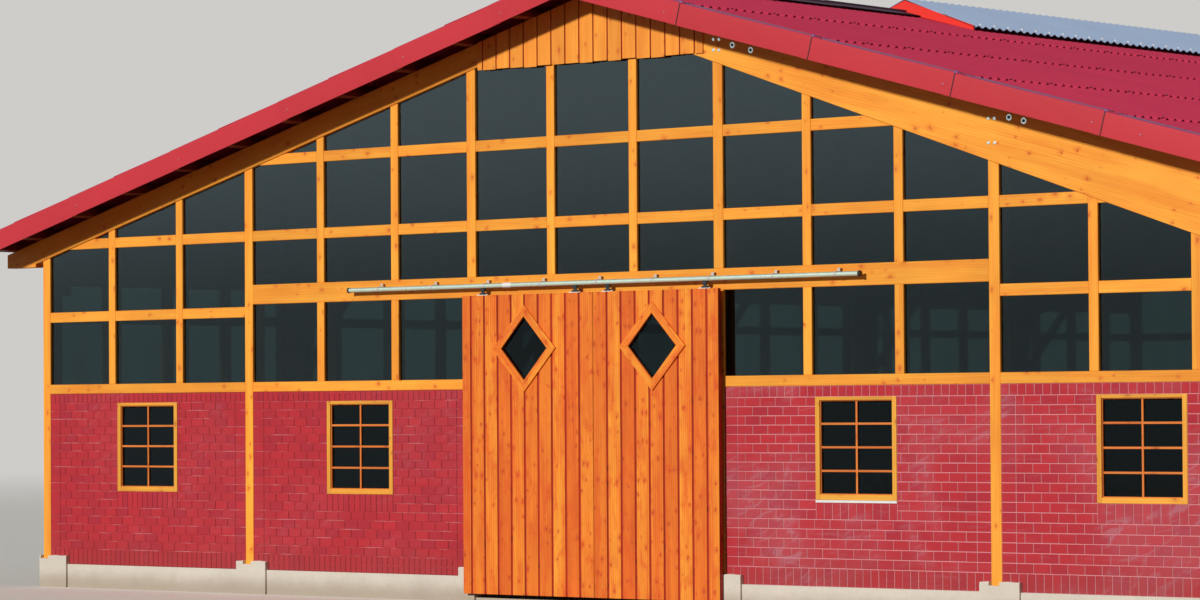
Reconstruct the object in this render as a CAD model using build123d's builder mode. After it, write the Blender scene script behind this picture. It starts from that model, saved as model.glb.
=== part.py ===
from build123d import *
import os
from math import cos, radians, tan

# Indoor riding arena: a timber gable hall with brick infill, a glazed front and a pair of sliding doors.
# Frame: +Z up, ground at z = 0, origin in the middle of the footprint, the front gable faces -Y.

# Plan
pitch = 1460.0                  # spacing of the uprights across the gable
columns = 15                    # spacings between the two corner posts
columns_per_bay = 3
bay_length = 5000.0             # spacing of the inner frames along the hall
bays_along = 6
verge_overhang = 600.0          # roof past the gable plane
eave_overhang = 1095.0          # roof past the corner post's centre
tail_reach = 876.0              # rafter tail past the corner post's centre

# Heights above the ground
plinth_height = 350.0
threshold_height = 60.0
door_beam_bottom = 4175.0
transom_low_bottom = 3992.0
transom_rise = 1093.0           # from each transom to the next
plate_top = 4840.0              # level cut of the rafter tails, and top of the long walls
boards_drop = 616.0             # gable boards below the rafters' lower edges at the ridge

# Roof
roof_pitch = 15.0
haunch_pitch = 18.77            # lower edge of a rafter that deepens towards its eave
sheet_depth = 57.0              # wave height and thickness of a roof sheet
sheet_cover = 2300.0            # visible length of a sheet along the slope
first_cover = 2205.0            # visible length of the sheet beside the ridge
lap_step = 9.0                  # how far each sheet stands over the one below it
purlin_width = 100.0
purlin_depth = 160.0
purlins_per_sheet = 2
ridge_purlin_offset = 150.0
eave_purlin_inset = 420.0       # last purlin from the edge of the roof
rafter_depth = 313.0            # at the ridge, and all along where the rafter stays straight
rafter_thickness = 180.0
rafter_proud = 20.0             # gable rafter in front of the posts
tail_depth = 203.0              # height of the tail's end
tail_inset = 226.0              # where the level cut of the tail starts, from the post's centre
verge_height = 303.0            # fascia leg of the verge trim, square to the slope
verge_cover = 200.0             # leg of the verge trim on the roof
verge_thickness = 10.0
ridge_cap_leg = 300.0
ridge_cap_thickness = 14.0

# Raised light ridge
light_ridge_start = 7080.0      # from the front gable plane
light_ridge_half_width = 1240.0
light_ridge_pitch = 20.0
light_ridge_gap = 79.0          # open slot between the roof and the low edge of its sheets
light_sheet_thickness = 40.0
light_kerb_offset = 700.0
light_kerb_thickness = 60.0
light_opening_half_width = 600.0
light_opening_inset = 200.0     # from the end of the light ridge to the hole in the roof
light_end_thickness = 30.0

# Timber of the gable
post_width = 160.0
post_depth = 250.0               # as deep as the brick with its setback
mullion_width = 140.0
mullion_depth = 140.0
sill_height = 140.0
sill_depth = 160.0
transom_height = 150.0
transom_depth = 60.0
door_beam_height = 281.0
door_beam_depth = 140.0
glass_thickness = 8.0
gable_board_thickness = 22.0
gable_boards_left = 2031.0      # ends of the gable boards, from the middle
gable_boards_right = 1990.0

# Masonry
brick_thickness = 240.0
brick_setback = 10.0            # brick face behind the posts' face
plinth_proud = 30.0
plinth_inside = 20.0            # plinth past the inner face of the brick, and the legs beside it
pier_head_width = 600.0
pier_head_left = 220.0          # part of a pier head left of its post's centre
pier_head_height = 482.0
pier_head_notch = 50.0          # post let into the top of its pier head
pier_head_thickness = 30.0

# Small windows in the brick
window_width = 1290.0
window_bottom = 1455.0
window_height = 1315.0
brick_over_window = 142.0       # course between a window and the sill beam
window_bar = 70.0
window_depth = 80.0
window_proud = 2.0
window_columns = (1.52, 4.52, 10.52, 13.46)

# Inner frames
leg_foot = 260.0
leg_head = 500.0
footing_side = 420.0
footing_height = 150.0
brace_width = 120.0
brace_foot = 180.0              # slanting end of a brace
brace_drop = 1150.0             # how far below the haunch the brace meets the leg
brace_reach = 1150.0            # how far from the leg it meets the rafter

# Long walls
side_upright_spacing = 1250.0
plate_height = 280.0
plate_depth = 160.0
eave_board_thickness = 30.0

# Sliding doors
door_meeting = 134.0            # where the leaves meet, from the middle of the gable
door_gap = 8.0
left_leaf_width = 2366.0
right_leaf_width = 2152.0
leaf_bottom = 117.0
leaf_lap = 20.0                 # leaf over the door beam
leaf_frame_depth = 40.0
leaf_stile = 140.0
leaf_clear = 75.0               # back of the leaf in front of the posts' face
board_sheet = 14.0
board_cover = 12.0
board_pitch = 245.5
board_groove = 33.0
board_least = 60.0              # narrowest board at the edge of a leaf
leaf_rails = (1500.0, 2780.0)   # middle rails above the foot of the leaf
diamond_drop = 735.0            # middle of the window below the top of the leaf
diamond_shift = 36.0            # window left of the middle of its leaf
diamond_width = 1140.0
diamond_height = 1180.0
diamond_trim = 150.0
diamond_trim_depth = 24.0
door_glass_thickness = 6.0

# Door track and its fittings
track_start = -4442.0
track_end = 4588.0
track_rise = 130.0              # middle of the tube above the leaves
track_radius = 32.5
track_wall = 4.0
track_slot = 22.0
bracket_columns = (4.862, 5.57, 6.242, 6.94, 7.628, 8.292, 8.96, 9.68, 10.378)
bracket_width = 40.0
bracket_plate = 8.0
bracket_height = 80.0
bracket_rise = 40.0             # plate above the saddle
bracket_arm = 18.0              # saddle that sits on the tube
left_hanger_places = (-1875.0, -200.0)
right_hanger_places = (378.0, 2052.0)
hanger_thickness = 10.0
hanger_width = 60.0
hanger_plate_length = 190.0
hanger_plate_width = 60.0
hanger_plate_thickness = 8.0
roller_radius = 17.0
roller_width = 10.0
roller_drop = 1.0               # axle of the rollers under the middle of the tube

# Lamp on the long wall
lamp_width = 160.0
lamp_depth = 110.0
lamp_height = 190.0
lamp_drop = 240.0               # below the top of the long wall

# Derived sizes
half_span = columns * pitch / 2
half_length = bays_along * bay_length / 2
slope = tan(radians(roof_pitch))
haunch_slope = tan(radians(haunch_pitch))
across = 1 / cos(radians(roof_pitch))
tail_end = half_span + tail_reach
rafter_apex = plate_top + tail_depth + slope * tail_end
roof_apex = rafter_apex + (sheet_depth + purlin_depth) * across
rafter_low_apex = rafter_apex - rafter_depth * across
sill_bottom = window_bottom + window_height + brick_over_window
sill_top = sill_bottom + sill_height
roof_half_width = half_span + eave_overhang
roof_half_length = half_length + verge_overhang
wall_outside = half_span + post_width / 2
brick_outside = wall_outside - brick_setback
brick_inside = brick_outside - brick_thickness
frame_places = [(i - bays_along / 2) * bay_length for i in range(1, bays_along)]
doorway_half = pitch * columns_per_bay / 2 - post_width / 2
plate_bottom = plate_top - plate_height
boards_bottom = rafter_low_apex - boards_drop
transom_bottoms = [transom_low_bottom + i * transom_rise for i in range(3)]
leaf_top = door_beam_bottom + leaf_lap
track_height = leaf_top + track_rise
front = -1
rear = 1
os.makedirs("parts", exist_ok=True)


def column_x(number):
    """Place of an upright, counted from the left corner post."""
    return (number - columns / 2) * pitch


def low_edge(x, right_deepens=True):
    """Height of a gable rafter's lower edge: straight on the left, deepening on the right."""
    if x > 0 and right_deepens:
        return rafter_low_apex - haunch_slope * x
    return rafter_low_apex - slope * abs(x)


def gable_plane(end, depth):
    """Upright plane parallel to a gable, depth behind its face."""
    return Plane.XZ.offset(-end * (half_length - depth))


def block(x0, x1, y0, y1, z0, z1, mode=Mode.ADD):
    """Upright box between two corners, added to the part being built."""
    with BuildSketch(Plane.XY.offset(z0)) as base:
        with Locations(((x0 + x1) / 2, (y0 + y1) / 2)):
            Rectangle(x1 - x0, y1 - y0)
    extrude(base.sketch, amount=z1 - z0, mode=mode)


def prism(plane, points, amount, mode=Mode.ADD):
    """Straight-sided outline pushed square to its plane."""
    with BuildSketch(plane) as outline:
        with BuildLine():
            Polyline(*points, close=True)
        make_face()
    extrude(outline.sketch, amount=amount, mode=mode)


def gable_prism(end, depth, thickness, points, mode=Mode.ADD):
    """Outline drawn in the gable and pushed into the hall."""
    prism(gable_plane(end, depth), points, end * thickness, mode)


def save(part, name):
    """Label a finished piece and write it."""
    part.label = name
    export_step(part, f"parts/{name}.step")


def upright(center, width, bottom):
    """Outline of an upright whose head is cut along the rafter above it."""
    left, right = center - width / 2, center + width / 2
    return [(left, bottom), (right, bottom), (right, low_edge(right)), (left, low_edge(left))]


def post_columns():
    return range(0, columns + 1, columns_per_bay)


def bay_outline(first, bottom):
    """Space between two posts, from a height up to the rafters."""
    left = column_x(first) + post_width / 2
    right = column_x(first + columns_per_bay) - post_width / 2
    points = [(left, bottom), (right, bottom), (right, low_edge(right))]
    if left < 0 < right:
        points.append((0, rafter_low_apex))
    points.append((left, low_edge(left)))
    return points


# Concrete: plinth under the brick, threshold of the doorway and pier heads in front of the posts
plinth_inner = brick_inside - plinth_inside
plinth_outer = wall_outside + plinth_proud
plinth_face = half_length + plinth_proud
plinth_back = half_length - brick_setback - brick_thickness - plinth_inside
with BuildPart() as front_plinth:
    block(-plinth_outer, -doorway_half, -plinth_face, -plinth_back, 0, plinth_height)
    block(doorway_half, plinth_outer, -plinth_face, -plinth_back, 0, plinth_height)
save(front_plinth.part, "front_plinth")

with BuildPart() as rear_plinth:
    block(-plinth_outer, plinth_outer, plinth_back, plinth_face, 0, plinth_height)
save(rear_plinth.part, "rear_plinth")

with BuildPart() as side_plinths:
    block(-plinth_outer, -plinth_inner, -plinth_back, plinth_back, 0, plinth_height)
    block(plinth_inner, plinth_outer, -plinth_back, plinth_back, 0, plinth_height)
save(side_plinths.part, "side_plinths")

with BuildPart() as threshold:
    block(-doorway_half, doorway_half, -plinth_face, -plinth_back, 0, threshold_height)
save(threshold.part, "door_threshold")

with BuildPart() as pier_heads:
    for end in (front, rear):
        for number in post_columns():
            center = column_x(number)
            y0, y1 = sorted((end * plinth_face, end * (plinth_face + pier_head_thickness)))
            left = min(max(center - pier_head_left, -plinth_outer), plinth_outer - pier_head_width)
            right = left + pier_head_width
            if end == front and 0 < center < pitch * columns_per_bay:
                left = center - post_width / 2
            if end == front and -pitch * columns_per_bay < center < 0:
                right = center + post_width / 2
            block(left, right, y0, y1, 0, pier_head_height)
            post_left, post_right = center - post_width / 2, center + post_width / 2
            outer, post_face, wall_face = (end * (half_length + step) for step in
                                           (plinth_proud + pier_head_thickness, 0, -brick_setback))
            y0, y1 = sorted((outer, wall_face))
            block(left, right, y0, y1, plinth_height, pier_head_height)
            y0, y1 = sorted((post_face, wall_face))
            block(post_left, post_right, y0, y1, plinth_height, pier_head_height, mode=Mode.SUBTRACT)
            y0, y1 = sorted((outer, post_face))
            block(post_left, post_right, y0, y1, pier_head_height - pier_head_notch, pier_head_height,
                  mode=Mode.SUBTRACT)
save(pier_heads.part, "pier_heads")

with BuildPart() as footings:
    for place in frame_places:
        for side in (-1, 1):
            near, far = sorted((side * (plinth_inner - footing_side), side * plinth_inner))
            block(near, far, place - footing_side / 2, place + footing_side / 2, 0, footing_height)
save(footings.part, "frame_footings")


# Brick: one panel between each two posts, and the long walls
def brick_panels(end, bays, windows):
    with BuildPart() as panels:
        for first in bays:
            left = column_x(first) + post_width / 2
            right = column_x(first + columns_per_bay) - post_width / 2
            outline = [(left, plinth_height), (right, plinth_height), (right, sill_bottom), (left, sill_bottom)]
            gable_prism(end, brick_setback, brick_thickness, outline)
        for number in windows:
            with BuildSketch(gable_plane(end, brick_setback)):
                with Locations((column_x(number), window_bottom + window_height / 2)):
                    Rectangle(window_width, window_height)
            extrude(amount=end * brick_thickness, mode=Mode.SUBTRACT)
    return panels.part


all_bays = list(range(0, columns, columns_per_bay))
door_bay = all_bays[len(all_bays) // 2]
front_bays = [first for first in all_bays if first != door_bay]
save(brick_panels(front, front_bays, window_columns), "front_brick_panels")
save(brick_panels(rear, all_bays, window_columns), "rear_brick_panels")

with BuildPart() as long_walls:
    reach = half_length - post_depth
    block(-brick_outside, -brick_inside, -reach, reach, plinth_height, sill_bottom)
    block(brick_inside, brick_outside, -reach, reach, plinth_height, sill_bottom)
save(long_walls.part, "side_brick_walls")


# Gable timber: posts, sill beams, door beam, glazing bars
with BuildPart() as posts:
    for end in (front, rear):
        for number in post_columns():
            outline = upright(column_x(number), post_width, plinth_height)
            gable_prism(end, 0, post_depth, outline)
    door_beam_reach = column_x(columns - columns_per_bay) - post_width / 2
    block(-door_beam_reach, door_beam_reach, -half_length, post_depth - half_length,
          door_beam_bottom, door_beam_bottom + door_beam_height, mode=Mode.SUBTRACT)
save(posts.part, "gable_posts")

with BuildPart() as door_beam:
    block(-door_beam_reach, door_beam_reach, -half_length, door_beam_depth - half_length,
          door_beam_bottom, door_beam_bottom + door_beam_height)
save(door_beam.part, "door_beam")

with BuildPart() as sills:
    for end, bays in ((front, front_bays), (rear, all_bays)):
        for first in bays:
            left = column_x(first) + post_width / 2
            right = column_x(first + columns_per_bay) - post_width / 2
            y0, y1 = sorted((end * half_length, end * (half_length - sill_depth)))
            block(left, right, y0, y1, sill_bottom, sill_top)
save(sills.part, "sill_beams")


def glazed_bottom(end, first):
    """Where the glazing of a bay starts: on the sill beam, or over the doorway."""
    if end == front and first == door_bay:
        return door_beam_bottom + door_beam_height
    return sill_top


def cut_door_beam(end, plane, thickness):
    """Take the door beam's place out of the front's bars and glass."""
    if end == front:
        with BuildSketch(plane) as place:
            with Locations((0, door_beam_bottom + door_beam_height / 2)):
                Rectangle(2 * door_beam_reach, door_beam_height)
        extrude(place.sketch, amount=end * thickness, mode=Mode.SUBTRACT)


def glazing_bars(end):
    """Mullions with the transoms across them, one lattice for each bay."""
    with BuildPart() as bars:
        for first in all_bays:
            outline = bay_outline(first, glazed_bottom(end, first))
            with BuildSketch(gable_plane(end, 0)):
                for number in (first + 1, first + 2):
                    with Locations((column_x(number), roof_apex / 2)):
                        Rectangle(mullion_width, roof_apex)
                with BuildLine(mode=Mode.PRIVATE) as edge:
                    Polyline(*outline, close=True)
                make_face(edge.edges(), mode=Mode.INTERSECT)
            extrude(amount=end * mullion_depth)
            outer_bay = first in (all_bays[0], all_bays[-1])
            heights = transom_bottoms if end == rear or outer_bay else transom_bottoms[1:]
            with BuildSketch(gable_plane(end, 0)):
                for height in heights:
                    with Locations((column_x(first + columns_per_bay / 2), height + transom_height / 2)):
                        Rectangle(columns_per_bay * pitch, transom_height)
                with BuildLine(mode=Mode.PRIVATE) as edge:
                    Polyline(*outline, close=True)
                make_face(edge.edges(), mode=Mode.INTERSECT)
            extrude(amount=end * transom_depth)
        cut_door_beam(end, gable_plane(end, 0), mullion_depth)
    return bars.part


def glass_strips(end):
    """Glass between two uprights, from the sill beam to the rafter, behind the transoms."""
    with BuildPart() as glass:
        for first in all_bays:
            outline = bay_outline(first, glazed_bottom(end, first))
            with BuildSketch(gable_plane(end, transom_depth)):
                with BuildLine():
                    Polyline(*outline, close=True)
                make_face()
                for number in (first + 1, first + 2):
                    with Locations((column_x(number), roof_apex / 2)):
                        Rectangle(mullion_width, roof_apex, mode=Mode.SUBTRACT)
            extrude(amount=end * glass_thickness)
        cut_door_beam(end, gable_plane(end, transom_depth), glass_thickness)
    return glass.part


for end, name in ((front, "front"), (rear, "rear")):
    save(glazing_bars(end), f"{name}_glazing_bars")
    save(glass_strips(end), f"{name}_glass")


# Small windows
with BuildPart() as window_frames:
    for end in (front, rear):
        with BuildSketch(gable_plane(end, -window_proud)):
            for number in window_columns:
                with Locations((column_x(number), window_bottom + window_height / 2)):
                    Rectangle(window_width, window_height)
                    Rectangle(window_width - 2 * window_bar, window_height - 2 * window_bar,
                              mode=Mode.SUBTRACT)
        extrude(amount=end * window_depth)
save(window_frames.part, "window_frames")

with BuildPart() as window_glass:
    for end in (front, rear):
        with BuildSketch(gable_plane(end, window_depth / 2)):
            for number in window_columns:
                with Locations((column_x(number), window_bottom + window_height / 2)):
                    Rectangle(window_width - 2 * window_bar, window_height - 2 * window_bar)
        extrude(amount=end * glass_thickness)
save(window_glass.part, "window_glass")


# Gable rafters and the boards over them at the ridge
def rafter_top(x):
    return rafter_apex - slope * abs(x)


def haunched_rafter(side, foot):
    """Rafter that deepens down to its foot on the wall, with a level tail past it."""
    return [(0, rafter_apex), (side * tail_end, rafter_top(tail_end)), (side * tail_end, plate_top),
            (side * foot, plate_top), (side * foot, rafter_low_apex - haunch_slope * foot),
            (0, rafter_low_apex)]


tail_start = -half_span - tail_inset
straight_rafter = [(0, rafter_apex), (-tail_end, rafter_top(tail_end)), (-tail_end, plate_top),
                   (tail_start, plate_top), (tail_start, low_edge(tail_start)), (0, rafter_low_apex)]

for end, name in ((front, "front"), (rear, "rear")):
    with BuildPart() as left_rafter:
        gable_prism(end, -rafter_proud, rafter_thickness, straight_rafter)
    save(left_rafter.part, f"{name}_left_rafter")
    with BuildPart() as right_rafter:
        gable_prism(end, -rafter_proud, rafter_thickness, haunched_rafter(1, wall_outside))
    save(right_rafter.part, f"{name}_right_rafter")

with BuildPart() as gable_boards:
    outline = [(-gable_boards_left, boards_bottom), (gable_boards_right, boards_bottom),
               (gable_boards_right, rafter_top(gable_boards_right)), (0, rafter_apex),
               (-gable_boards_left, rafter_top(gable_boards_left))]
    for end in (front, rear):
        gable_prism(end, -rafter_proud - gable_board_thickness, gable_board_thickness, outline)
save(gable_boards.part, "gable_boards")


# Inner frames: legs, rafters that deepen towards the eaves, knee braces
leg_outside = brick_inside - plinth_inside
haunch_foot = rafter_low_apex - haunch_slope * leg_outside
leg_inside = leg_outside - leg_head

with BuildPart() as legs:
    for place in frame_places:
        for side in (-1, 1):
            outline = [(side * leg_outside, footing_height), (side * (leg_outside - leg_foot), footing_height),
                       (side * leg_inside, rafter_low_apex - haunch_slope * leg_inside),
                       (side * leg_outside, haunch_foot)]
            prism(Plane.XZ.offset(-place - rafter_thickness / 2), outline, rafter_thickness)
save(legs.part, "frame_legs")

for side, name in ((-1, "left"), (1, "right")):
    with BuildPart() as frame_rafters:
        for place in frame_places:
            prism(Plane.XZ.offset(-place - rafter_thickness / 2), haunched_rafter(side, leg_outside),
                  rafter_thickness)
    save(frame_rafters.part, f"{name}_frame_rafters")


def leg_face(z):
    """Inner face of a leg at a height."""
    top = rafter_low_apex - haunch_slope * leg_inside
    share = (z - footing_height) / (top - footing_height)
    return leg_outside - leg_foot - share * (leg_head - leg_foot)


with BuildPart() as braces:
    knee = rafter_low_apex - haunch_slope * leg_inside
    low, high = knee - brace_drop, knee - brace_drop + brace_foot
    start, stop = leg_inside - brace_reach, leg_inside - brace_reach + brace_foot
    for place in frame_places:
        for side in (-1, 1):
            outline = [(side * leg_face(low), low),
                       (side * start, rafter_low_apex - haunch_slope * start),
                       (side * stop, rafter_low_apex - haunch_slope * stop),
                       (side * leg_face(high), high)]
            prism(Plane.XZ.offset(-place - brace_width / 2), outline, brace_width)
save(braces.part, "knee_braces")


# Long walls: sill, mid rail, uprights and wall plate, glass, boards over the plate
side_uprights = [i * side_upright_spacing for i in range(1, int(2 * half_length / side_upright_spacing))]
reach = half_length - post_depth
with BuildPart() as side_bars:
    for side in (-1, 1):
        face = side * wall_outside
        for bottom, height, depth in ((sill_bottom, sill_height, sill_depth),
                                      (plate_bottom, plate_height, plate_depth),
                                      (transom_low_bottom, transom_height, transom_depth)):
            x0, x1 = sorted((face, face - side * depth))
            block(x0, x1, -reach, reach, bottom, bottom + height)
        x0, x1 = sorted((face, face - side * mullion_depth))
        for place in side_uprights:
            y = place - half_length
            block(x0, x1, y - mullion_width / 2, y + mullion_width / 2, sill_top, plate_bottom)
save(side_bars.part, "side_wall_framing")

with BuildPart() as side_glass:
    for side in (-1, 1):
        face = side * (wall_outside - transom_depth)
        x0, x1 = sorted((face, face - side * glass_thickness))
        block(x0, x1, -reach, reach, sill_top, plate_bottom)
        for place in side_uprights:
            y = place - half_length
            block(x0, x1, y - mullion_width / 2, y + mullion_width / 2, sill_top, plate_bottom,
                  mode=Mode.SUBTRACT)
save(side_glass.part, "side_wall_glass")

with BuildPart() as eave_boards:
    board_top = rafter_apex - slope * half_span
    edges = [post_depth - half_length] + frame_places + [half_length - post_depth]
    for side in (-1, 1):
        x0, x1 = sorted((side * (half_span - eave_board_thickness), side * half_span))
        for i in range(len(edges) - 1):
            y0 = edges[i] + (rafter_thickness / 2 if i else 0)
            y1 = edges[i + 1] - (rafter_thickness / 2 if i < len(edges) - 2 else 0)
            block(x0, x1, y0, y1, plate_top, board_top)
save(eave_boards.part, "eave_boards")


# Roof: purlins, lapped sheets, verge trims, ridge caps
lap_places = [first_cover / across]
while lap_places[-1] + sheet_cover / across < roof_half_width:
    lap_places.append(lap_places[-1] + sheet_cover / across)
purlin_places = [ridge_purlin_offset]
for place in lap_places:
    step = sheet_cover / across / purlins_per_sheet
    purlin_places += [place - step, place]
purlin_places.append(roof_half_width - eave_purlin_inset)


def roof_point(x, above):
    """Point square above the rafters' top edge, on the right-hand slope."""
    angle = radians(roof_pitch)
    return (x + above * slope * cos(angle), rafter_apex - slope * x + above * cos(angle))


def mirrored(points, side):
    return [(side * x, z) for x, z in points]


sheet_reach = roof_half_length - verge_thickness
with BuildPart() as purlins:
    for side in (-1, 1):
        for place in purlin_places:
            low, high = place - purlin_width / 2, place + purlin_width / 2
            outline = [roof_point(low, 0), roof_point(high, 0),
                       roof_point(high, purlin_depth), roof_point(low, purlin_depth)]
            prism(Plane.XZ.offset(-sheet_reach), mirrored(outline, side), 2 * sheet_reach)
save(purlins.part, "purlins")

sheet_edges = [0] + lap_places + [roof_half_width]
sheet_outline = [(0, roof_apex - sheet_depth * across)]
for upper, lower in zip(sheet_edges, sheet_edges[1:]):
    sheet_outline.append((upper, roof_apex - slope * upper))
    sheet_outline.append((lower, roof_apex - slope * lower + lap_step))
sheet_outline.append((roof_half_width, roof_apex - slope * roof_half_width - sheet_depth * across))
for side, name in ((-1, "left"), (1, "right")):
    with BuildPart() as sheets:
        prism(Plane.XZ.offset(-sheet_reach), mirrored(sheet_outline, side), 2 * sheet_reach)
        opening_reach = half_length - light_ridge_start - light_opening_inset
        block(-light_opening_half_width, light_opening_half_width, -opening_reach, opening_reach,
              roof_apex / 2, roof_apex + sheet_depth, mode=Mode.SUBTRACT)
    save(sheets.part, f"{name}_roof_sheets")

verge_apex = roof_apex + lap_step + verge_thickness * across


def under_verge(x, below):
    """Point below the verge trim's top line, measured square to the slope."""
    return (x, verge_apex - slope * abs(x) - below * across)


for side, name in ((-1, "left"), (1, "right")):
    outer_end = side * roof_half_width
    with BuildPart() as verges:
        for end in (front, rear):
            plane = Plane.XZ.offset(-end * roof_half_length)
            for depth, run in ((verge_height, verge_thickness), (verge_thickness, verge_cover)):
                outline = [under_verge(0, 0), under_verge(outer_end, 0),
                           under_verge(outer_end, depth), under_verge(0, depth)]
                prism(plane, outline, end * run)
    save(verges.part, f"{name}_verge_trims")

with BuildPart() as ridge_caps:
    base = verge_apex
    reach = ridge_cap_leg / across
    outline = [(0, base + ridge_cap_thickness * across), (reach, base + ridge_cap_thickness * across - slope * reach),
               (reach, base - slope * reach), (0, base),
               (-reach, base - slope * reach), (-reach, base + ridge_cap_thickness * across - slope * reach)]
    for end in (front, rear):
        prism(Plane.XZ.offset(-end * roof_half_length), outline,
              end * (verge_overhang + light_ridge_start))
save(ridge_caps.part, "ridge_caps")

# Raised light ridge: kerbs along the opening, translucent sheets, boarded ends
light_slope = tan(radians(light_ridge_pitch))
light_reach = half_length - light_ridge_start
light_edge = roof_apex - slope * light_ridge_half_width + light_ridge_gap
light_low = light_edge + light_slope * light_ridge_half_width
light_ridge_apex = light_low + light_sheet_thickness / cos(radians(light_ridge_pitch))
with BuildPart() as light_sheets:
    for side in (-1, 1):
        outline = [(0, light_ridge_apex), (light_ridge_half_width, light_ridge_apex - light_slope * light_ridge_half_width),
                   (light_ridge_half_width, light_low - light_slope * light_ridge_half_width), (0, light_low)]
        prism(Plane.XZ.offset(-light_reach), mirrored(outline, side), 2 * light_reach)
save(light_sheets.part, "light_ridge_sheets")

with BuildPart() as light_kerbs:
    near, far = light_kerb_offset - light_kerb_thickness / 2, light_kerb_offset + light_kerb_thickness / 2
    base = roof_apex + lap_step
    outline = [(near, base - slope * near), (far, base - slope * far),
               (far, light_low - light_slope * far), (near, light_low - light_slope * near)]
    for side in (-1, 1):
        prism(Plane.XZ.offset(-light_reach + light_end_thickness), mirrored(outline, side),
              2 * (light_reach - light_end_thickness))
save(light_kerbs.part, "light_ridge_kerbs")

with BuildPart() as light_ends:
    outline = [(0, light_low), (light_ridge_half_width, light_low - light_slope * light_ridge_half_width),
               (light_ridge_half_width, base - slope * light_ridge_half_width), (0, base),
               (-light_ridge_half_width, base - slope * light_ridge_half_width),
               (-light_ridge_half_width, light_low - light_slope * light_ridge_half_width)]
    for end in (front, rear):
        prism(Plane.XZ.offset(-end * light_reach), outline, end * light_end_thickness)
save(light_ends.part, "light_ridge_ends")


# Door track: a tube with a slot along its bottom, on brackets
leaf_back = -half_length - leaf_clear
leaf_front = leaf_back - leaf_frame_depth - board_sheet - board_cover
track_y = leaf_back - (leaf_frame_depth + board_sheet + board_cover) / 2
with BuildPart() as track:
    with BuildSketch(Plane.YZ.offset(track_start)):
        with Locations((track_y, track_height)):
            Circle(track_radius)
            Circle(track_radius - track_wall, mode=Mode.SUBTRACT)
        with Locations((track_y, track_height - track_radius)):
            Rectangle(track_slot, track_radius, mode=Mode.SUBTRACT)
    extrude(amount=track_end - track_start)
save(track.part, "door_track")

with BuildPart() as brackets:
    for number in bracket_columns:
        center = column_x(number)
        top = track_height + track_radius + bracket_plate
        block(center - bracket_width / 2, center + bracket_width / 2,
              -half_length - bracket_plate, -half_length,
              top + bracket_rise - bracket_height, top + bracket_rise)
        block(center - bracket_width / 2, center + bracket_width / 2,
              track_y, -half_length - bracket_plate, top - bracket_arm, top)
        with BuildSketch(Plane.YZ.offset(center - bracket_width / 2)):
            with Locations((track_y, track_height)):
                Circle(track_radius)
        extrude(amount=bracket_width, mode=Mode.SUBTRACT)
save(brackets.part, "track_brackets")


# Door leaves: frame behind, boards, diamond window with its trim, hangers with rollers in the track
def diamond(center, middle, width, height):
    """Outline of a square stood on its corner."""
    return [(center - width / 2, middle), (center, middle - height / 2),
            (center + width / 2, middle), (center, middle + height / 2)]


def cover_boards(left, right):
    """Edges of a leaf's boards, laid from the meeting line outwards. The outermost one fills what is left."""
    count = int(half_span / board_pitch)
    joints = [door_meeting + i * board_pitch for i in range(-count, count)]
    inner = [place for place in joints if left + board_least < place < right - board_least]
    starts = [left] + [place + board_groove / 2 for place in inner]
    stops = [place - board_groove / 2 for place in inner] + [right]
    return zip(starts, stops)


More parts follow.
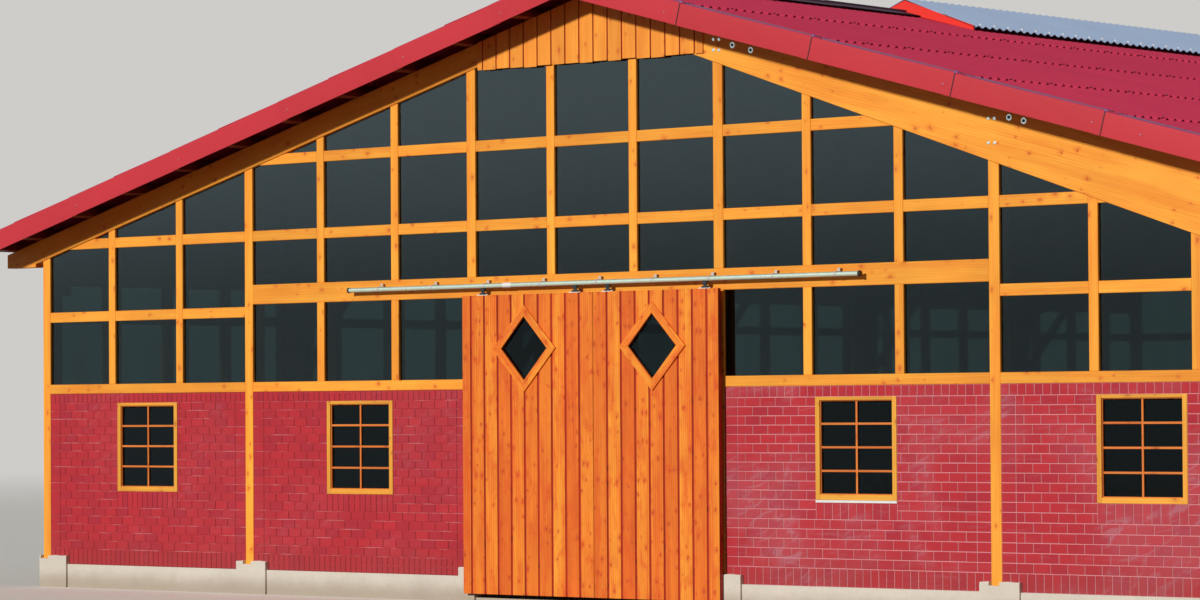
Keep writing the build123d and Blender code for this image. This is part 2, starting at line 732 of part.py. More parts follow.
def door_leaf(name, left, leaf_width, places):
    """One leaf with its frame, boards, window, trim and hangers."""
    center = left + leaf_width / 2
    window_center = center - diamond_shift
    window_middle = leaf_top - diamond_drop
    window = diamond(window_center, window_middle, diamond_width - 2 * diamond_trim,
                     diamond_height - 2 * diamond_trim)
    back = Plane.XZ.offset(-leaf_back)
    middle = Plane.XZ.offset(-leaf_back + leaf_frame_depth)
    face = Plane.XZ.offset(-leaf_back + leaf_frame_depth + board_sheet)
    with BuildPart() as frame:
        with BuildSketch(back):
            with Locations((center, (leaf_bottom + leaf_top) / 2)):
                Rectangle(leaf_width, leaf_top - leaf_bottom)
                Rectangle(leaf_width - 2 * leaf_stile, leaf_top - leaf_bottom - 2 * leaf_stile,
                          mode=Mode.SUBTRACT)
            for rail in leaf_rails:
                with Locations((center, leaf_bottom + rail)):
                    Rectangle(leaf_width, leaf_stile)
        extrude(amount=leaf_frame_depth)
    save(frame.part, f"{name}_leaf_frame")

    with BuildPart() as boards:
        with BuildSketch(middle):
            with Locations((center, (leaf_bottom + leaf_top) / 2)):
                Rectangle(leaf_width, leaf_top - leaf_bottom)
        extrude(amount=board_sheet)
        for start, stop in cover_boards(left, left + leaf_width):
            prism(face, [(start, leaf_bottom), (stop, leaf_bottom), (stop, leaf_top), (start, leaf_top)],
                  board_cover)
        prism(middle, window, board_sheet + board_cover, mode=Mode.SUBTRACT)
    save(boards.part, f"{name}_leaf_boards")

    with BuildPart() as trim:
        front_face = Plane.XZ.offset(-leaf_back + leaf_frame_depth + board_sheet + board_cover)
        outer = diamond(window_center, window_middle, diamond_width, diamond_height)
        prism(front_face, outer, diamond_trim_depth)
        prism(front_face, window, diamond_trim_depth, mode=Mode.SUBTRACT)
    save(trim.part, f"{name}_diamond_trim")

    with BuildPart() as glass:
        prism(middle, window, door_glass_thickness)
    save(glass.part, f"{name}_diamond_glass")

    with BuildPart() as hangers:
        for place in places:
            block(place - hanger_plate_length / 2, place + hanger_plate_length / 2,
                  track_y - hanger_plate_width / 2, track_y + hanger_plate_width / 2,
                  leaf_top, leaf_top + hanger_plate_thickness)
            block(place - hanger_width / 2, place + hanger_width / 2,
                  track_y - hanger_thickness / 2, track_y + hanger_thickness / 2,
                  leaf_top + hanger_plate_thickness, track_height)
            with BuildSketch(Plane.XZ.offset(-track_y - track_slot / 2 - roller_width)):
                with Locations((place, track_height - roller_drop)):
                    Circle(roller_radius)
            extrude(amount=track_slot + 2 * roller_width)
    save(hangers.part, f"{name}_door_hangers")


door_leaf("left", door_meeting - door_gap / 2 - left_leaf_width, left_leaf_width, left_hanger_places)
door_leaf("right", door_meeting + door_gap / 2, right_leaf_width, right_hanger_places)

# Lamp on the left long wall, beside the corner post
with BuildPart() as lamp:
    lamp_y = -half_length + post_depth + lamp_width
    block(-wall_outside - lamp_depth, -wall_outside, lamp_y, lamp_y + lamp_width,
          plate_top - lamp_drop - lamp_height, plate_top - lamp_drop)
save(lamp.part, "wall_lamp")
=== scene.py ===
"""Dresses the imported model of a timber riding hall.

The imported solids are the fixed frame. Brick courses, planed timbers, lapped roof sheets, window bars,
panes, door boards and ironwork are worked out here as surfaces, and every surface gets a material made of
shader nodes.
"""

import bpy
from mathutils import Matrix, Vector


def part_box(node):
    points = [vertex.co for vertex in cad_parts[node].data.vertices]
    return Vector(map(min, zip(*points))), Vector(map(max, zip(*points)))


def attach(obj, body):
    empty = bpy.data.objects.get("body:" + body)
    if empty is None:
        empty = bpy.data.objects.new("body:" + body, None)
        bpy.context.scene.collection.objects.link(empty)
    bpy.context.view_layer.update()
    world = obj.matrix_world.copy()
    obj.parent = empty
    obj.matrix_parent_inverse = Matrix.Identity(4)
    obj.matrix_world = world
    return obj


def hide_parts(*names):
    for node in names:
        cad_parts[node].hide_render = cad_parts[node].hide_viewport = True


bl_info = {
    "name": "Riding Hall Dressing",
    "version": (1, 0, 0),
    "blender": (4, 5, 0),
    "location": "3D View > Sidebar > Riding Hall",
    "description": "Lays bricks, timbers, roof sheets and doors over the hall's solids",
    "category": "Object",
}

from math import cos, pi, radians, sin, tan

import bpy
import numpy as np
from bpy.props import FloatProperty, FloatVectorProperty, IntProperty, PointerProperty
from mathutils import Matrix

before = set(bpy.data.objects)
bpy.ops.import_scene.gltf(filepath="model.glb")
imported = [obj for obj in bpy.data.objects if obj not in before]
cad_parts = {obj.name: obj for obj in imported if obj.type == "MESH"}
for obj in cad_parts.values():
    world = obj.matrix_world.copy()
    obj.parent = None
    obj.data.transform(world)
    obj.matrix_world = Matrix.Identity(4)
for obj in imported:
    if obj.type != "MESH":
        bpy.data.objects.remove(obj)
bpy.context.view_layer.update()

# Directions, then places that the solids share, in metres
UP, LEVEL, ALONG = (0, 0, 1), (1, 0, 0), (0, 1, 0)
FRONT, REAR = -1, 1
SIDES = ((-1, "left"), (1, "right"))
PITCH = 1.46
COLUMNS = 15
BAY = 3
HALF_SPAN = COLUMNS * PITCH / 2
GABLE = 15.0
POST_WIDTH = 0.16
POST_DEPTH = 0.25
MULLION_WIDTH = 0.14
MULLION_DEPTH = 0.14
TRANSOM_HEIGHT = 0.15
TRANSOM_DEPTH = 0.06
PANE_SETBACK = 0.036
WALL_OUTSIDE = HALF_SPAN + POST_WIDTH / 2
ROOF_ANGLE = radians(15.0)
SLOPE = tan(ROOF_ANGLE)
HAUNCH = tan(radians(18.77))
ACROSS = 1 / cos(ROOF_ANGLE)
PLINTH_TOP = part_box("front_brick_panels")[0].z
SILL_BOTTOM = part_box("sill_beams")[0].z
SILL_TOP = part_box("sill_beams")[1].z
SILL_DEPTH = 0.16
PLATE_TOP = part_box("side_wall_framing")[1].z
PLATE_BOTTOM = PLATE_TOP - 0.28
TAIL_END = HALF_SPAN + 0.876
TAIL_START = HALF_SPAN + 0.226
RAFTER_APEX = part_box("front_left_rafter")[1].z
RAFTER_DEPTH = 0.313
RAFTER_THICKNESS = 0.18
RAFTER_PROUD = 0.02
LOW_APEX = RAFTER_APEX - RAFTER_DEPTH * ACROSS
SHEET_DEPTH = 0.057
ROOF_APEX = RAFTER_APEX + (SHEET_DEPTH + 0.16) * ACROSS
ROOF_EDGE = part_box("right_roof_sheets")[1].x
ROOF_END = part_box("right_roof_sheets")[1].y
LAP_STEP = 0.009
FIRST_COVER, SHEET_COVER, SHEET_ROWS = 2.205, 2.3, 6
LAP_PLACES = tuple((FIRST_COVER + SHEET_COVER * i) / ACROSS for i in range(SHEET_ROWS - 1))
VERGE_FACE = GABLE + 0.6
VERGE_LAPS = {-1: (1.29, 3.1, 5.36, 7.59, 9.79), 1: (2.06, 4.22, 6.43, 8.62)}
VERGE_SCREWS = {-1: (0.39, 1.09, 2.9, 5.16, 7.39, 9.59), 1: (1.79, 6.25, 8.43, 9.12)}
BEAM_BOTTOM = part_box("door_beam")[0].z
BEAM_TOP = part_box("door_beam")[1].z
BEAM_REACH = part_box("door_beam")[1].x
LOW_TRANSOM, TRANSOM_STEP = 3.992, 1.093
TRANSOMS = tuple(LOW_TRANSOM + TRANSOM_STEP * i for i in range(3))
PIER_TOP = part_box("pier_heads")[1].z
WINDOW_COLUMNS = (1.52, 4.52, 10.52, 13.46)
WINDOW_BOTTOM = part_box("window_frames")[0].z
WINDOW_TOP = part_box("window_frames")[1].z
WINDOW_WIDTH = 1.29
UPRIGHT_TOP = PLINTH_TOP + 0.233
COURSES_BELOW, COURSES_BESIDE, WINDOW_COURSE = 7, 11, 5
LOW_COURSE = (WINDOW_BOTTOM - UPRIGHT_TOP) / COURSES_BELOW
HIGH_COURSE = (WINDOW_TOP - WINDOW_BOTTOM) / COURSES_BESIDE
BRICK_FACE = GABLE - 0.01
SIDE_BRICK_FACE = WALL_OUTSIDE - 0.01
SIDE_REACH = GABLE - POST_DEPTH
LIGHT_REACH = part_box("light_ridge_sheets")[1].y
LIGHT_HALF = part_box("light_ridge_sheets")[1].x
LIGHT_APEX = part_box("light_ridge_sheets")[1].z
LIGHT_SLOPE = tan(radians(20.0))
LIGHT_SAG = 0.032
LEAF_BACK = -GABLE - 0.075
LEAF_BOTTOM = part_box("left_leaf_frame")[0].z
LEAF_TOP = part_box("left_leaf_frame")[1].z
LEAF_SPANS = {side: (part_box(f"{side}_leaf_frame")[0].x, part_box(f"{side}_leaf_frame")[1].x)
              for side in ("left", "right")}
TRACK_Y = LEAF_BACK - 0.033
TRACK_Z = LEAF_TOP + 0.13
TRACK_RADIUS = 0.0325
DOOR_BAY = 6
UPRIGHT_PITCH = {-1: 0.104, 1: 0.123}
PIER_LEFT, PIER_WIDTH = 0.22, 0.6
SLEEVE_X = -1.42
BRACKET_COLUMNS = (4.862, 5.57, 6.242, 6.94, 7.628, 8.292, 8.96, 9.68, 10.378)
HANGER_PLACES = {"left": (-1.875, -0.2), "right": (0.378, 2.052)}

# Tone of a part that has none of its own, and what the stage takes
EVEN_TONE = 0.5
SENSOR_WIDTH = 36.0
CAMERA_CLIP = (0.5, 900.0)
FLOOR_REACH = 400.0
SUN_TINT = (1.0, 0.97, 0.92)
SKY_TINT = (1.0, 0.94, 0.95)
BACKDROP_TINT = (1.0, 0.98, 0.95)
MIRROR_TINT = (0.74, 0.97, 1.06)


def linear(red, green, blue):
    """Colour written as a screen shows it, 0 to 255, made linear for a shader."""
    shares = np.array([red, green, blue]) / 255
    return tuple(np.where(shares <= 0.04045, shares / 12.92, ((shares + 0.055) / 1.055) ** 2.4))


def colour_property(name, description, red, green, blue):
    """Colour setting with its default written as a screen shows it."""
    return FloatVectorProperty(name=name, description=description, subtype="COLOR", size=3,
                               min=0.0, max=1.0, default=linear(red, green, blue))


def length_property(name, description, default):
    """Length setting in metres."""
    return FloatProperty(name=name, description=description, default=default, min=0.0, unit="LENGTH")


class HallSizes(bpy.types.PropertyGroup):
    """Sizes of the small parts that are laid over the solids."""

    brick_length: length_property("Brick length", "Stretcher with one joint", 0.25)
    brick_joint: length_property("Brick joint", "Width of the mortar joints", 0.011)
    brick_proud: length_property("Brick proud", "How far the bricks stand before the mortar", 0.005)
    strip_width: length_property("Edge strip", "Stacked strip of brick beside the posts", 0.215)
    timber_edge: length_property("Timber edge", "Rounding of planed timber", 0.005)
    wave_length: length_property("Roof wave", "Distance between two waves of a roof sheet", 0.177)
    sheet_thickness: length_property("Sheet thickness", "Thickness of a roof sheet", 0.007)
    board_pitch: length_property("Door board pitch", "Distance between the grooves of the doors", 0.2455)
    groove_width: length_property("Door groove", "Width of the grooves between door boards", 0.033)
    bar_width: length_property("Window bar", "Width of the bars of the small windows", 0.028)
    screw_radius: length_property("Screw cap", "Radius of the caps of the roof screws", 0.03)
    screw_every: IntProperty(name="Screw spacing", description="Waves from one roof screw to the next",
                             default=5, min=1)


class HallColours(bpy.types.PropertyGroup):
    """Colours of the finishes."""

    timber: colour_property("Timber", "Stained gable timber", 251, 174, 60)
    timber_deep: colour_property("Timber grain", "Darker grain of the gable timber", 237, 142, 42)
    door: colour_property("Door boards", "Palest door board", 246, 163, 50)
    door_deep: colour_property("Door boards, deep", "Reddest door board", 230, 100, 24)
    inner: colour_property("Inner frames", "Glued timber of the inner frames", 120, 52, 34)
    brick: colour_property("Brick", "Face of the bricks", 178, 45, 54)
    brick_dark: colour_property("Brick, dark", "Bluer bricks", 168, 43, 57)
    joint_pale: colour_property("Pale joints", "Mortar of the right half", 210, 136, 143)
    joint_dark: colour_property("Dark joints", "Mortar of the left half", 128, 24, 34)
    roof: colour_property("Roof sheets", "Fibre cement of the roof", 201, 55, 88)
    verge: colour_property("Verge trims", "Painted verge trims", 194, 47, 58)
    ridge: colour_property("Ridge caps", "Dark ridge caps", 70, 28, 48)
    light_sheet: colour_property("Light sheets", "Translucent sheets of the light ridge", 182, 204, 240)
    light_end: colour_property("Light ridge ends", "Painted ends of the light ridge", 240, 48, 36)
    concrete: colour_property("Concrete", "Plinth and pier heads", 210, 203, 190)
    glass: colour_property("Glass", "Tint of the panes", 96, 112, 108)
    steel: colour_property("Steel", "Galvanised steel", 232, 254, 230)
    floor: colour_property("Floor", "Stage floor", 240, 238, 232)
    ground: colour_property("Ground", "Light that the stage floor throws back", 112, 76, 62)


class HallStage(bpy.types.PropertyGroup):
    """Light and camera."""

    sun_strength: FloatProperty(name="Sun", description="Strength of the sun lamp", default=3.2, min=0.0)
    sun_height: FloatProperty(name="Sun height", description="Angle of the sun above the horizon",
                              default=radians(20.8), subtype="ANGLE")
    sun_turn: FloatProperty(name="Sun turn", description="Angle of the sun to the left of the gable",
                            default=radians(3.5), subtype="ANGLE")
    sun_softness: FloatProperty(name="Sun softness", description="Width of the sun's disc",
                                default=radians(4), subtype="ANGLE")
    sky_strength: FloatProperty(name="Sky", description="Strength of the light from all round", default=0.12,
                                min=0.0)
    backdrop: FloatProperty(name="Backdrop", description="Brightness of the background", default=0.62,
                            min=0.0)
    floor_near: length_property("Floor edge, near", "Distance where the floor starts to fade", 40.0)
    floor_far: length_property("Floor edge, far", "Distance where the floor is gone", 130.0)
    camera_place: FloatVectorProperty(name="Camera", description="Place of the camera", subtype="XYZ",
                                      unit="LENGTH", size=3, default=(35.376, -55.778, 2.599))
    camera_turn: FloatProperty(name="Camera turn", description="Turn to the left of the hall's length",
                               default=radians(40.827), subtype="ANGLE")
    camera_rise: FloatProperty(name="Camera rise", description="Tilt upwards", default=radians(1.412),
                               subtype="ANGLE")
    camera_roll: FloatProperty(name="Camera roll", description="Turn about the line of sight",
                               default=radians(-0.340), subtype="ANGLE")
    camera_lens: FloatProperty(name="Lens", description="Focal length in millimetres", default=120.94)
    camera_shift: FloatProperty(name="Camera shift", description="Upward shift, in picture widths",
                                default=0.0101)


# Shader nodes

def node(tree, kind, inputs=(), **settings):
    """Add a shader node, set its options, and give each named input a value or a link."""
    made = tree.nodes.new("ShaderNode" + kind)
    for key, value in settings.items():
        setattr(made, key, value)
    for key, value in dict(inputs).items():
        socket = made.inputs[key]
        if isinstance(value, bpy.types.NodeSocket):
            tree.links.new(value, socket)
        elif socket.type == "RGBA":
            socket.default_value = (*tuple(value)[:3], 1.0)
        else:
            socket.default_value = value
    return made


def calc(tree, operation, first, second=0.0, clamp=False):
    """Result of one operation on two numbers."""
    return node(tree, "Math", {0: first, 1: second}, operation=operation, use_clamp=clamp).outputs[0]


def times(tree, first, second, clamp=False):
    """Product of two numbers."""
    return calc(tree, "MULTIPLY", first, second, clamp)


def plus(tree, first, second, clamp=False):
    """Sum of two numbers."""
    return calc(tree, "ADD", first, second, clamp)


def less(tree, first, second):
    """First number less the second."""
    return calc(tree, "SUBTRACT", first, second)


def inverse(tree, value):
    """One less a number, which turns a mask round."""
    return calc(tree, "SUBTRACT", 1.0, value)


def brighten(tree, colour, factor):
    """Colour times a number."""
    return node(tree, "VectorMath", {0: colour, "Scale": factor}, operation="SCALE").outputs["Vector"]


def along(tree, vector, direction):
    """Length of a point's place along a direction."""
    return node(tree, "VectorMath", {0: vector, 1: direction}, operation="DOT_PRODUCT").outputs["Value"]


def stretch(tree, vector, scale):
    """Coordinates stretched by three numbers."""
    return node(tree, "VectorMath", {0: vector, 1: scale}, operation="MULTIPLY").outputs["Vector"]


def ease(tree, value, start, end):
    """Smooth step from 0 at start to 1 at end."""
    return node(tree, "MapRange", {0: value, 1: start, 2: end}, interpolation_type="SMOOTHSTEP").outputs[0]


def spread(tree, value, low, high):
    """Number from 0 to 1 laid between low and high."""
    return node(tree, "MapRange", {0: value, 1: 0.0, 2: 1.0, 3: low, 4: high}).outputs[0]


def spread_between(tree, share, first, second):
    """Number between two others."""
    return node(tree, "Mix", {0: share, 2: first, 3: second}, data_type="FLOAT").outputs[0]


def mix(tree, share, first, second, blend_type="MIX"):
    """Colour between two others."""
    made = node(tree, "Mix", {0: share, 6: first, 7: second}, data_type="RGBA", blend_type=blend_type)
    return made.outputs[2]


def noise(tree, vector, scale, detail=3.0, roughness=0.5, distortion=0.0):
    """Cloudy value, mostly between 0.3 and 0.7."""
    return node(tree, "TexNoise", {"Vector": vector, "Scale": scale, "Detail": detail, "Roughness": roughness,
                                   "Distortion": distortion}).outputs[0]


def place(tree):
    """Object coordinates, which are metres in the hall's frame."""
    return node(tree, "TexCoord").outputs["Object"]


def tone(tree):
    """Number from 0 to 1 that each brick, board or timber carries."""
    return node(tree, "Attribute", attribute_name="tone").outputs["Fac"]


def group_tree(name, inputs, outputs):
    """Empty node group with named sockets, and the nodes at its two ends."""
    kinds = {"color": "NodeSocketColor", "value": "NodeSocketFloat", "vector": "NodeSocketVector"}
    tree = bpy.data.node_groups.new(name, "ShaderNodeTree")
    for label, kind in inputs:
        tree.interface.new_socket(label, in_out="INPUT", socket_type=kinds[kind])
    for label, kind in outputs:
        tree.interface.new_socket(label, in_out="OUTPUT", socket_type=kinds[kind])
    return tree, tree.nodes.new("NodeGroupInput").outputs, tree.nodes.new("NodeGroupOutput").inputs


def use_group(tree, name, inputs):
    """Place a node group in a tree."""
    return node(tree, "Group", inputs, node_tree=bpy.data.node_groups[name]).outputs


def build_timber_group():
    """Planed softwood: streaks drawn out along the grain, rings bent by slow noise, and scattered knots.

    The first coordinate runs along the grain and the second across it, in metres.
    """
    tree, given, made = group_tree(
        "timber_grain",
        [("Coordinates", "vector"), ("Pale", "color"), ("Deep", "color"), ("Knot", "color"),
         ("Tone", "value"), ("Knots", "value")],
        [("Color", "color"), ("Height", "value"), ("Roughness", "value")])
    where = given["Coordinates"]
    streaks = noise(tree, stretch(tree, where, (0.7, 17.0, 17.0)), 2.0, 4.0, 0.6)
    bands = noise(tree, stretch(tree, where, (0.22, 3.0, 3.0)), 2.0, 2.0, 0.5, 0.4)
    patches = noise(tree, stretch(tree, where, (0.9, 1.6, 1.6)), 1.3, 2.0)
    rings = node(tree, "TexWave", {"Vector": stretch(tree, where, (0.1, 1.0, 1.0)), "Scale": 9.0,
                                   "Distortion": 5.0, "Detail": 2.0, "Detail Scale": 0.6},
                 bands_direction="Y").outputs["Fac"]
    wander = node(tree, "TexNoise", {"Vector": where, "Scale": 26.0, "Detail": 2.0}).outputs["Color"]
    drawn_out = stretch(tree, where, (0.7, 1.0, 1.0))
    bent = node(tree, "VectorMath", {0: wander, 1: (0.05, 0.05, 0.0), 2: drawn_out},
                operation="MULTIPLY_ADD").outputs["Vector"]
    cells = node(tree, "TexVoronoi", {"Vector": bent, "Scale": given["Knots"], "Randomness": 1.0},
                 voronoi_dimensions="2D")
    picked = along(tree, cells.outputs["Color"], (0.34, 0.0, 0.0))
    size = calc(tree, "MAXIMUM", less(tree, picked, 0.17), 0.001)
    knot = calc(tree, "DIVIDE", cells.outputs["Distance"], size)
    knot_core = inverse(tree, ease(tree, knot, 0.35, 1.15))
    knot_halo = inverse(tree, ease(tree, knot, 0.6, 3.0))
    grain = plus(tree, times(tree, streaks, 0.5), times(tree, bands, 0.7))
    grain = plus(tree, grain, times(tree, rings, 0.12))
    share = plus(tree, ease(tree, grain, 0.42, 0.92), times(tree, knot_halo, 0.35), clamp=True)
    shade = mix(tree, share, given["Pale"], given["Deep"])
    lift = plus(tree, spread(tree, given["Tone"], 0.88, 1.08),
                times(tree, less(tree, patches, 0.5), 0.30))
    shade = brighten(tree, shade, lift)
    stain = plus(tree, times(tree, knot_core, 0.6), times(tree, knot_halo, 0.13))
    tree.links.new(mix(tree, stain, shade, given["Knot"]), made["Color"])
    height = plus(tree, times(tree, streaks, 0.6), times(tree, knot_core, 0.5))
    tree.links.new(height, made["Height"])
    tree.links.new(spread(tree, streaks, 0.42, 0.62), made["Roughness"])


def build_mottle_group():
    """Uneven colour: two sizes of cloud darken and lighten a colour, and a fine grain gives the height."""
    tree, given, made = group_tree(
        "mottling", [("Coordinates", "vector"), ("Color", "color"), ("Scale", "value"), ("Amount", "value")],
        [("Color", "color"), ("Height", "value")])
    large = noise(tree, given["Coordinates"], given["Scale"], 3.0)
    small = noise(tree, given["Coordinates"], times(tree, given["Scale"], 14.0), 4.0, 0.65)
    both = plus(tree, times(tree, large, 0.62), times(tree, small, 0.38))
    swing = times(tree, less(tree, both, 0.5), given["Amount"])
    tree.links.new(brighten(tree, given["Color"], plus(tree, 1.0, swing)), made["Color"])
    tree.links.new(small, made["Height"])


def build_splash_group():
    """Dust and splashed earth: a stain that is strongest at the ground and breaks up in cloudy patches."""
    tree, given, made = group_tree(
        "ground_splash",
        [("Coordinates", "vector"), ("Color", "color"), ("Dirt", "color"), ("Reach", "value")],
        [("Color", "color"), ("Mask", "value")])
    height = node(tree, "SeparateXYZ", {0: given["Coordinates"]}).outputs["Z"]
    ragged = times(tree, noise(tree, given["Coordinates"], 2.3, 4.0, 0.65), 0.5)
    level = less(tree, calc(tree, "DIVIDE", height, given["Reach"]), ragged)
    mask = times(tree, inverse(tree, ease(tree, level, -0.1, 0.75)), 0.6)
    tree.links.new(mix(tree, mask, given["Color"], given["Dirt"]), made["Color"])
    tree.links.new(mask, made["Mask"])


def build_bloom_group():
    """Lime bloom on brick: clouds, wiped strokes inside them and runs below the joints.

    It is stronger on the right of the gable.
    """
    tree, given, made = group_tree(
        "lime_bloom", [("Coordinates", "vector"), ("Color", "color"), ("Lime", "color")],
        [("Color", "color"), ("Mask", "value")])
    where = given["Coordinates"]
    right = spread(tree, ease(tree, along(tree, where, LEVEL), 0.0, 3.0), 0.2, 1.0)
    clouds = ease(tree, noise(tree, where, 0.55, 2.0, 0.5, 0.8), 0.44, 0.66)
    slanted = [along(tree, where, row) for row in ((2.2, 0.0, 1.1), (0.0, 3.0, 0.0), (-3.2, 0.0, 7.0))]
    bent = node(tree, "CombineXYZ", dict(enumerate(slanted))).outputs[0]
    strokes = ease(tree, noise(tree, bent, 0.8, 3.0, 0.55, 1.6), 0.5, 0.72)
    runs = ease(tree, noise(tree, stretch(tree, where, (1.2, 1.2, 9.0)), 1.1, 3.0, 0.6, 0.8), 0.55, 0.8)
    wiped = times(tree, clouds, spread(tree, strokes, 0.16, 0.62))
    share = plus(tree, wiped, times(tree, runs, 0.22))
    mask = times(tree, share, right, clamp=True)
    tree.links.new(mix(tree, mask, given["Color"], given["Lime"]), made["Color"])
    tree.links.new(mask, made["Mask"])


def build_groups():
    """Make the node groups that the materials share."""
    build_timber_group()
    build_mottle_group()
    build_splash_group()
    build_bloom_group()


# Materials

def start_material(name):
    """Material with a Principled shader joined to its output."""
    material = bpy.data.materials.new(name)
    material.use_nodes = True
    tree = material.node_tree
    tree.nodes.clear()
    shader = node(tree, "BsdfPrincipled")
    tree.links.new(shader.outputs[0], node(tree, "OutputMaterial").inputs["Surface"])
    return material, tree, shader


def feed(tree, shader, colour, roughness, height=None, relief=0.002, strength=0.6):
    """Join colour, roughness and relief to the shader. The relief is a height in metres."""
    tree.links.new(colour, shader.inputs["Base Color"])
    if isinstance(roughness, bpy.types.NodeSocket):
        tree.links.new(roughness, shader.inputs["Roughness"])
    else:
        shader.inputs["Roughness"].default_value = roughness
    if height is not None:
        bump = node(tree, "Bump", {"Height": height, "Distance": relief, "Strength": strength})
        tree.links.new(bump.outputs[0], shader.inputs["Normal"])


def timber_material(name, pale, deep, knot, coordinates=None, knots=6.4):
    """Stained timber whose grain follows the piece's own map, or the coordinates that are given."""
    material, tree, shader = start_material(name)
    where = coordinates(tree) if coordinates else node(tree, "UVMap", uv_map="grain").outputs[0]
    grain = use_group(tree, "timber_grain", {"Coordinates": where, "Pale": pale, "Deep": deep, "Knot": knot,
                                             "Tone": tone(tree), "Knots": knots})
    feed(tree, shader, grain["Color"], grain["Roughness"], grain["Height"], 0.0015)
    shader.inputs["Specular IOR Level"].default_value = 0.3
    return material


def grain_along(direction, sideways):
    """Coordinates for a solid: first along the grain, then across it."""
    def build(tree):
        where = place(tree)
        first, second = along(tree, where, direction), along(tree, where, sideways)
        return node(tree, "CombineXYZ", {0: first, 1: second}).outputs[0]
    return build


def scaled(colour, share):
    """Colour made darker or lighter."""
    return tuple(min(1.0, part * share) for part in colour)


def door_material(colours):
    """Door boards: each board has its own mix of honey and red stain."""
    material, tree, shader = start_material("door_boards")
    share = tone(tree)
    pale = mix(tree, share, colours.door, colours.door_deep)
    deep = mix(tree, share, colours.door_deep, scaled(colours.door_deep, 0.72))
    where = node(tree, "UVMap", uv_map="grain").outputs[0]
    grain = use_group(tree, "timber_grain", {"Coordinates": where, "Pale": pale, "Deep": deep, "Tone": 0.55,
                                             "Knot": linear(172, 58, 18), "Knots": 8.0})
    cloud = noise(tree, stretch(tree, where, (1.0, 2.2, 1.0)), 3.2, 4.0, 0.6, 0.5)
    red = times(tree, ease(tree, cloud, 0.46, 0.72), 0.6)
    shade = mix(tree, red, grain["Color"], linear(212, 76, 20))
    feed(tree, shader, shade, grain["Roughness"], grain["Height"], 0.0018)
    shader.inputs["Specular IOR Level"].default_value = 0.35
    return material


def glulam_material(name, colours, direction, sideways):
    """Glued timber: grain along the member with a thin glue line every 33 mm."""
    material, tree, shader = start_material(name)
    where = grain_along(direction, sideways)(tree)
    layer_thickness = 0.033
    grain = use_group(tree, "timber_grain", {"Coordinates": where, "Pale": scaled(colours.inner, 1.25),
                                             "Deep": scaled(colours.inner, 0.7),
                                             "Knot": scaled(colours.inner, 0.35), "Tone": 0.5, "Knots": 3.0})
    layer = calc(tree, "FRACT", calc(tree, "DIVIDE", along(tree, place(tree), sideways), layer_thickness))
    line = inverse(tree, ease(tree, layer, 0.0, 0.07))
    shade = mix(tree, times(tree, line, 0.5), grain["Color"], scaled(colours.inner, 0.4))
    feed(tree, shader, shade, grain["Roughness"], grain["Height"], 0.001)
    return material


def brick_material(colours):
    """Face of the bricks: each brick has its own red, a sandy skin, and lime bloom."""
    material, tree, shader = start_material("brick_faces")
    where, share = place(tree), tone(tree)
    shade = mix(tree, ease(tree, share, 0.35, 1.0), colours.brick, colours.brick_dark)
    shade = mix(tree, ease(tree, calc(tree, "FRACT", times(tree, share, 7.3)), 0.6, 1.0), shade,
                scaled(colours.brick, 1.07))
    skin = use_group(tree, "mottling", {"Coordinates": where, "Color": shade, "Scale": 2.1, "Amount": 0.42})
    bloom = use_group(tree, "lime_bloom", {"Coordinates": where, "Color": skin["Color"],
                                           "Lime": linear(180, 132, 146)})
    splash = use_group(tree, "ground_splash", {"Coordinates": where, "Color": bloom["Color"],
                                               "Dirt": linear(150, 60, 60), "Reach": 0.9})
    feed(tree, shader, splash["Color"], spread(tree, skin["Height"], 0.55, 0.8), skin["Height"], 0.002)
    shader.inputs["Specular IOR Level"].default_value = 0.2
    return material


def course_mask(tree, height):
    """One where a point lies in a bed joint, from the level of the courses below and beside the windows."""
    masks, half_joint = [], 0.007
    for level, step in ((UPRIGHT_TOP, LOW_COURSE), (WINDOW_BOTTOM, HIGH_COURSE)):
        turns = plus(tree, calc(tree, "DIVIDE", less(tree, height, level), step), 0.5)
        away = calc(tree, "ABSOLUTE", less(tree, calc(tree, "FRACT", turns), 0.5))
        masks.append(calc(tree, "LESS_THAN", away, half_joint / step))
    return spread_between(tree, calc(tree, "GREATER_THAN", height, WINDOW_BOTTOM), *masks)


